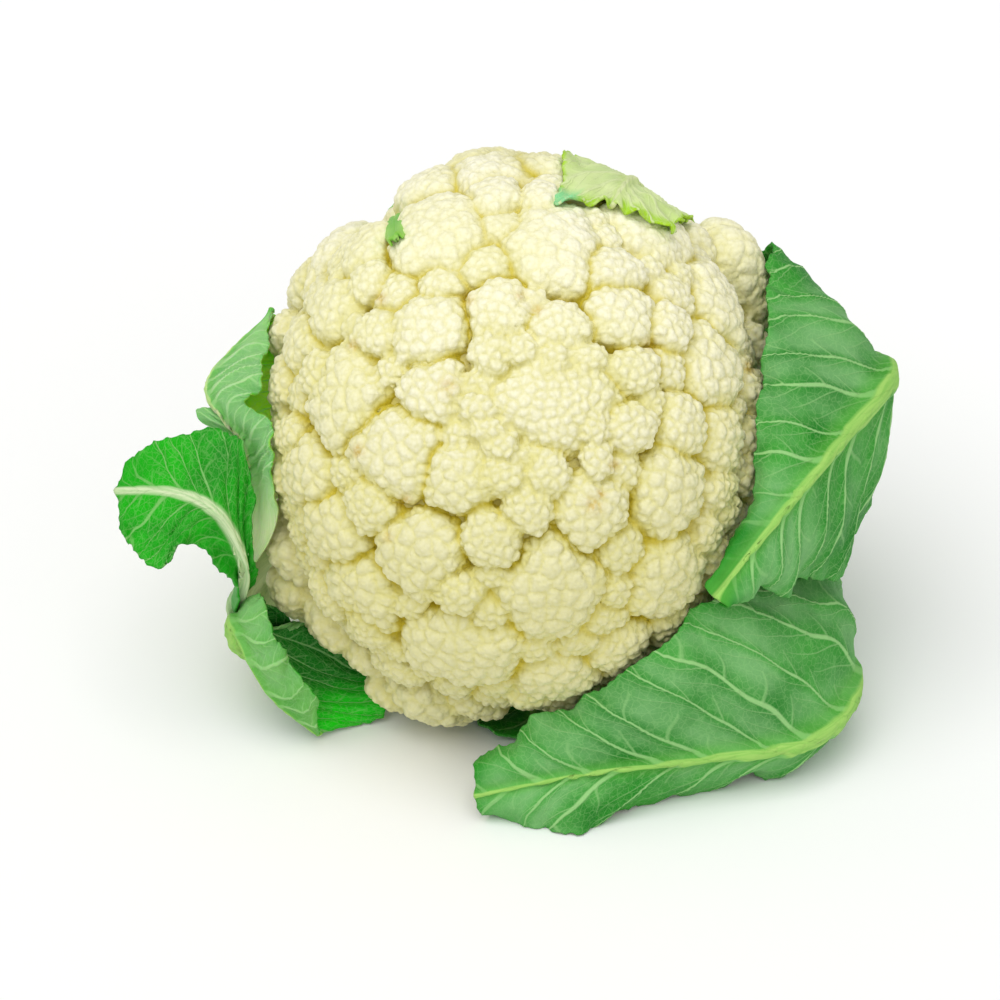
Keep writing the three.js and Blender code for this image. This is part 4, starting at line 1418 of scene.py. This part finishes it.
# What every leaf has, and where each leaf differs: its colours, in 0 to 255 steps, and how strong or wide
# they are.
LEAF_SHARES = dict(bloom=0.72, edge_share=0.35, edge_wide=3.0, rib_share=0.5, rib_soft=0.3, glow=0.0)
LEAF_SIZES = ("thickness", "tooth_depth", "quilting")
LEAF_COLOURS = tuple(key for key in LeafSettings.__annotations__ if key not in LEAF_SIZES)
LEAF_LOOKS = {
    "leaf_right": {},
    "leaf_lower_right": {},
    # Painted shade: the leaf under the head gets much darker greens for the shadow of the curd above it.
    "leaf_under": dict(outer_dark=(20, 84, 30), outer_light=(34, 104, 38)),
    # Painted light and shade: bright inner greens make this leaf's tip read lit where it faces away from the
    # light, and the deep colour darkens the inner face in the cup behind it.
    "leaf_lower_left": dict(
        outer_dark=(86, 164, 68), outer_light=(130, 192, 100), inner_dark=(0, 176, 0),
        inner_light=(12, 232, 0), deep=(0, 116, 8), glow=0.3,
    ),
    "leaf_left": dict(
        inner_dark=(0, 126, 0), inner_light=(10, 176, 0), vein=(150, 206, 124), rib=(210, 226, 180),
        beside=(50, 168, 30), rib_share=0.6, rib_soft=0.9,
    ),
    # Painted light: the inner face gets pale, bright yellow-greens so that it reads lit where it lies in the
    # curd's shade.
    "leaf_upper_left": dict(
        outer_dark=(104, 180, 92), outer_light=(146, 206, 120), inner_dark=(130, 216, 20),
        inner_light=(206, 246, 84), vein=(182, 220, 160), rib=(200, 226, 150), glow=0.6,
    ),
    "leaf_back_left": dict(
        outer_dark=(132, 200, 84), outer_light=(178, 222, 120), edge=(170, 216, 60), bloom=0.25,
    ),
    "leaf_top": dict(
        outer_dark=(198, 224, 132), outer_light=(226, 238, 176), inner_dark=(140, 196, 60),
        inner_light=(176, 214, 90), edge=(166, 214, 10), vein=(220, 234, 172), rib=(224, 234, 176),
        beside=(200, 224, 130), corner=(138, 216, 150), bloom=0.2, edge_share=0.92, edge_wide=5.0,
    ),
}


def leaf_look(name, settings):
    look = LEAF_SHARES | {key: tuple(getattr(settings, key)) for key in LEAF_COLOURS}
    for key, value in LEAF_LOOKS[name].items():
        look[key] = srgb(*value) if isinstance(value, tuple) else value
    return look


class CAULIFLOWER_OT_leaves(bpy.types.Operator):
    """Grow the leaves, with their ribs, side veins and cut margins"""

    bl_idname = "cauliflower.leaves"
    bl_label = "Grow the leaves"

    def execute(self, context):
        settings = context.scene.leaf_settings
        for leaf in LEAVES:
            name = leaf["name"]
            material = leaf_material(leaf, leaf_look(name, settings))
            grow_leaf(leaf, settings, material)
        return {"FINISHED"}


# ---- The stage ----


class StageSettings(bpy.types.PropertyGroup):
    camera_height: FloatProperty(
        name="Camera elevation", description="How far above the level the camera looks from",
        subtype="ANGLE", default=math.radians(35),
    )
    camera_distance: FloatProperty(
        name="Camera distance", description="From the head's middle", unit="LENGTH", default=1.5, min=0.2
    )
    lens: FloatProperty(name="Lens", description="Focal length", unit="CAMERA", default=172.8, min=10)
    floor: FloatVectorProperty(
        name="Floor", description="Colour of the floor", subtype="COLOR", size=3, default=(0.96, 0.96, 0.955)
    )


LOOK_AT = (-5.6, -20.9, 0)
SENSOR_WIDTH = 36
FLOOR_SIZE = 12
SKY_STRENGTH = 0.49
# Soft lights far off: name, the direction it shines from, how wide it is in the sky, and its strength.
LIGHTS = (
    ("high_light", (-0.22, -0.34, 1.0), math.radians(60), 1.79),
    ("front_light", (0.35, -1.0, 0.55), math.radians(60), 0.35),
)


class CAULIFLOWER_OT_stage(bpy.types.Operator):
    """Set the camera, the soft lights and the pale floor"""

    bl_idname = "cauliflower.stage"
    bl_label = "Set the stage"

    def execute(self, context):
        settings = context.scene.stage_settings
        target = Vector(np.array(LOOK_AT) @ HEAD_TURN.T * MM + HEAD_PLACE)
        high = settings.camera_height
        away = Vector((0, -math.cos(high), math.sin(high)))
        deselect()
        bpy.ops.object.camera_add(location=target + away * settings.camera_distance)
        camera = context.object
        camera.name = "camera"
        camera.rotation_euler = (math.pi / 2 - high, 0, 0)
        camera.data.lens = settings.lens
        camera.data.sensor_width = SENSOR_WIDTH
        context.scene.camera = camera
        context.scene.view_settings.view_transform = "Standard"
        for name, way, width, strength in LIGHTS:
            bpy.ops.object.light_add(type="SUN", location=Vector(way) * 2)
            light = context.object
            light.name = name
            light.data.angle = width
            light.data.energy = strength
            light.rotation_euler = Vector(way).to_track_quat("Z", "Y").to_euler()
        bpy.ops.mesh.primitive_plane_add(size=FLOOR_SIZE)
        floor = context.object
        floor.name = "floor"
        nodes = Nodes("floor_paper")
        place = nodes.add("ShaderNodeTexCoord").outputs["Object"]
        shade = nodes.ramp(nodes.noise(place, 3, 2), 0.0, 1.0)
        pale = tuple(settings.floor)
        nodes.put(nodes.mix(shade, pale, tuple(c * 0.985 for c in pale)), nodes.shader.inputs["Base Color"])
        nodes.shader.inputs["Roughness"].default_value = 0.9
        nodes.shader.inputs["Specular IOR Level"].default_value = 0.0
        floor.data.materials.append(nodes.material)
        floor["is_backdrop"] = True
        world = context.scene.world or bpy.data.worlds.new("world")
        context.scene.world = world
        world.use_nodes = True
        sky = world.node_tree.nodes["Background"]
        sky.inputs["Color"].default_value = (1, 1, 1, 1)
        sky.inputs["Strength"].default_value = SKY_STRENGTH
        return {"FINISHED"}


class CAULIFLOWER_PT_panel(bpy.types.Panel):
    """Lists the steps of the cauliflower"""

    bl_label = "Cauliflower"
    bl_idname = "CAULIFLOWER_PT_panel"
    bl_space_type = "VIEW_3D"
    bl_region_type = "UI"
    bl_category = "Cauliflower"

    def draw(self, context):
        for operator in OPERATORS:
            self.layout.operator(operator.bl_idname)
        for key, _ in SETTINGS:
            settings = getattr(context.scene, key)
            box = self.layout.box()
            for name in settings.__annotations__:
                box.prop(settings, name)


OPERATORS = (CAULIFLOWER_OT_stage, CAULIFLOWER_OT_leaves, CAULIFLOWER_OT_stalk, CAULIFLOWER_OT_curd)
SETTINGS = (
    ("stage_settings", StageSettings), ("leaf_settings", LeafSettings),
    ("stalk_settings", StalkSettings), ("curd_settings", CurdSettings),
)
CLASSES = (*(kind for _, kind in SETTINGS), *OPERATORS, CAULIFLOWER_PT_panel)


def register():
    for item in CLASSES:
        bpy.utils.register_class(item)
    for key, kind in SETTINGS:
        setattr(bpy.types.Scene, key, PointerProperty(type=kind))


def unregister():
    for key, _ in SETTINGS:
        delattr(bpy.types.Scene, key)
    for item in reversed(CLASSES):
        bpy.utils.unregister_class(item)


def plain(box):
    return [[float(value) for value in corner] for corner in box]


def main():
    register()
    bpy.ops.cauliflower.stage()
    bpy.ops.cauliflower.leaves()
    bpy.ops.cauliflower.stalk()
    bpy.ops.cauliflower.curd()
    {"cad": plain(CAD_BOX), "visual": plain(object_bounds())}


if __name__ == "__main__":
    main()
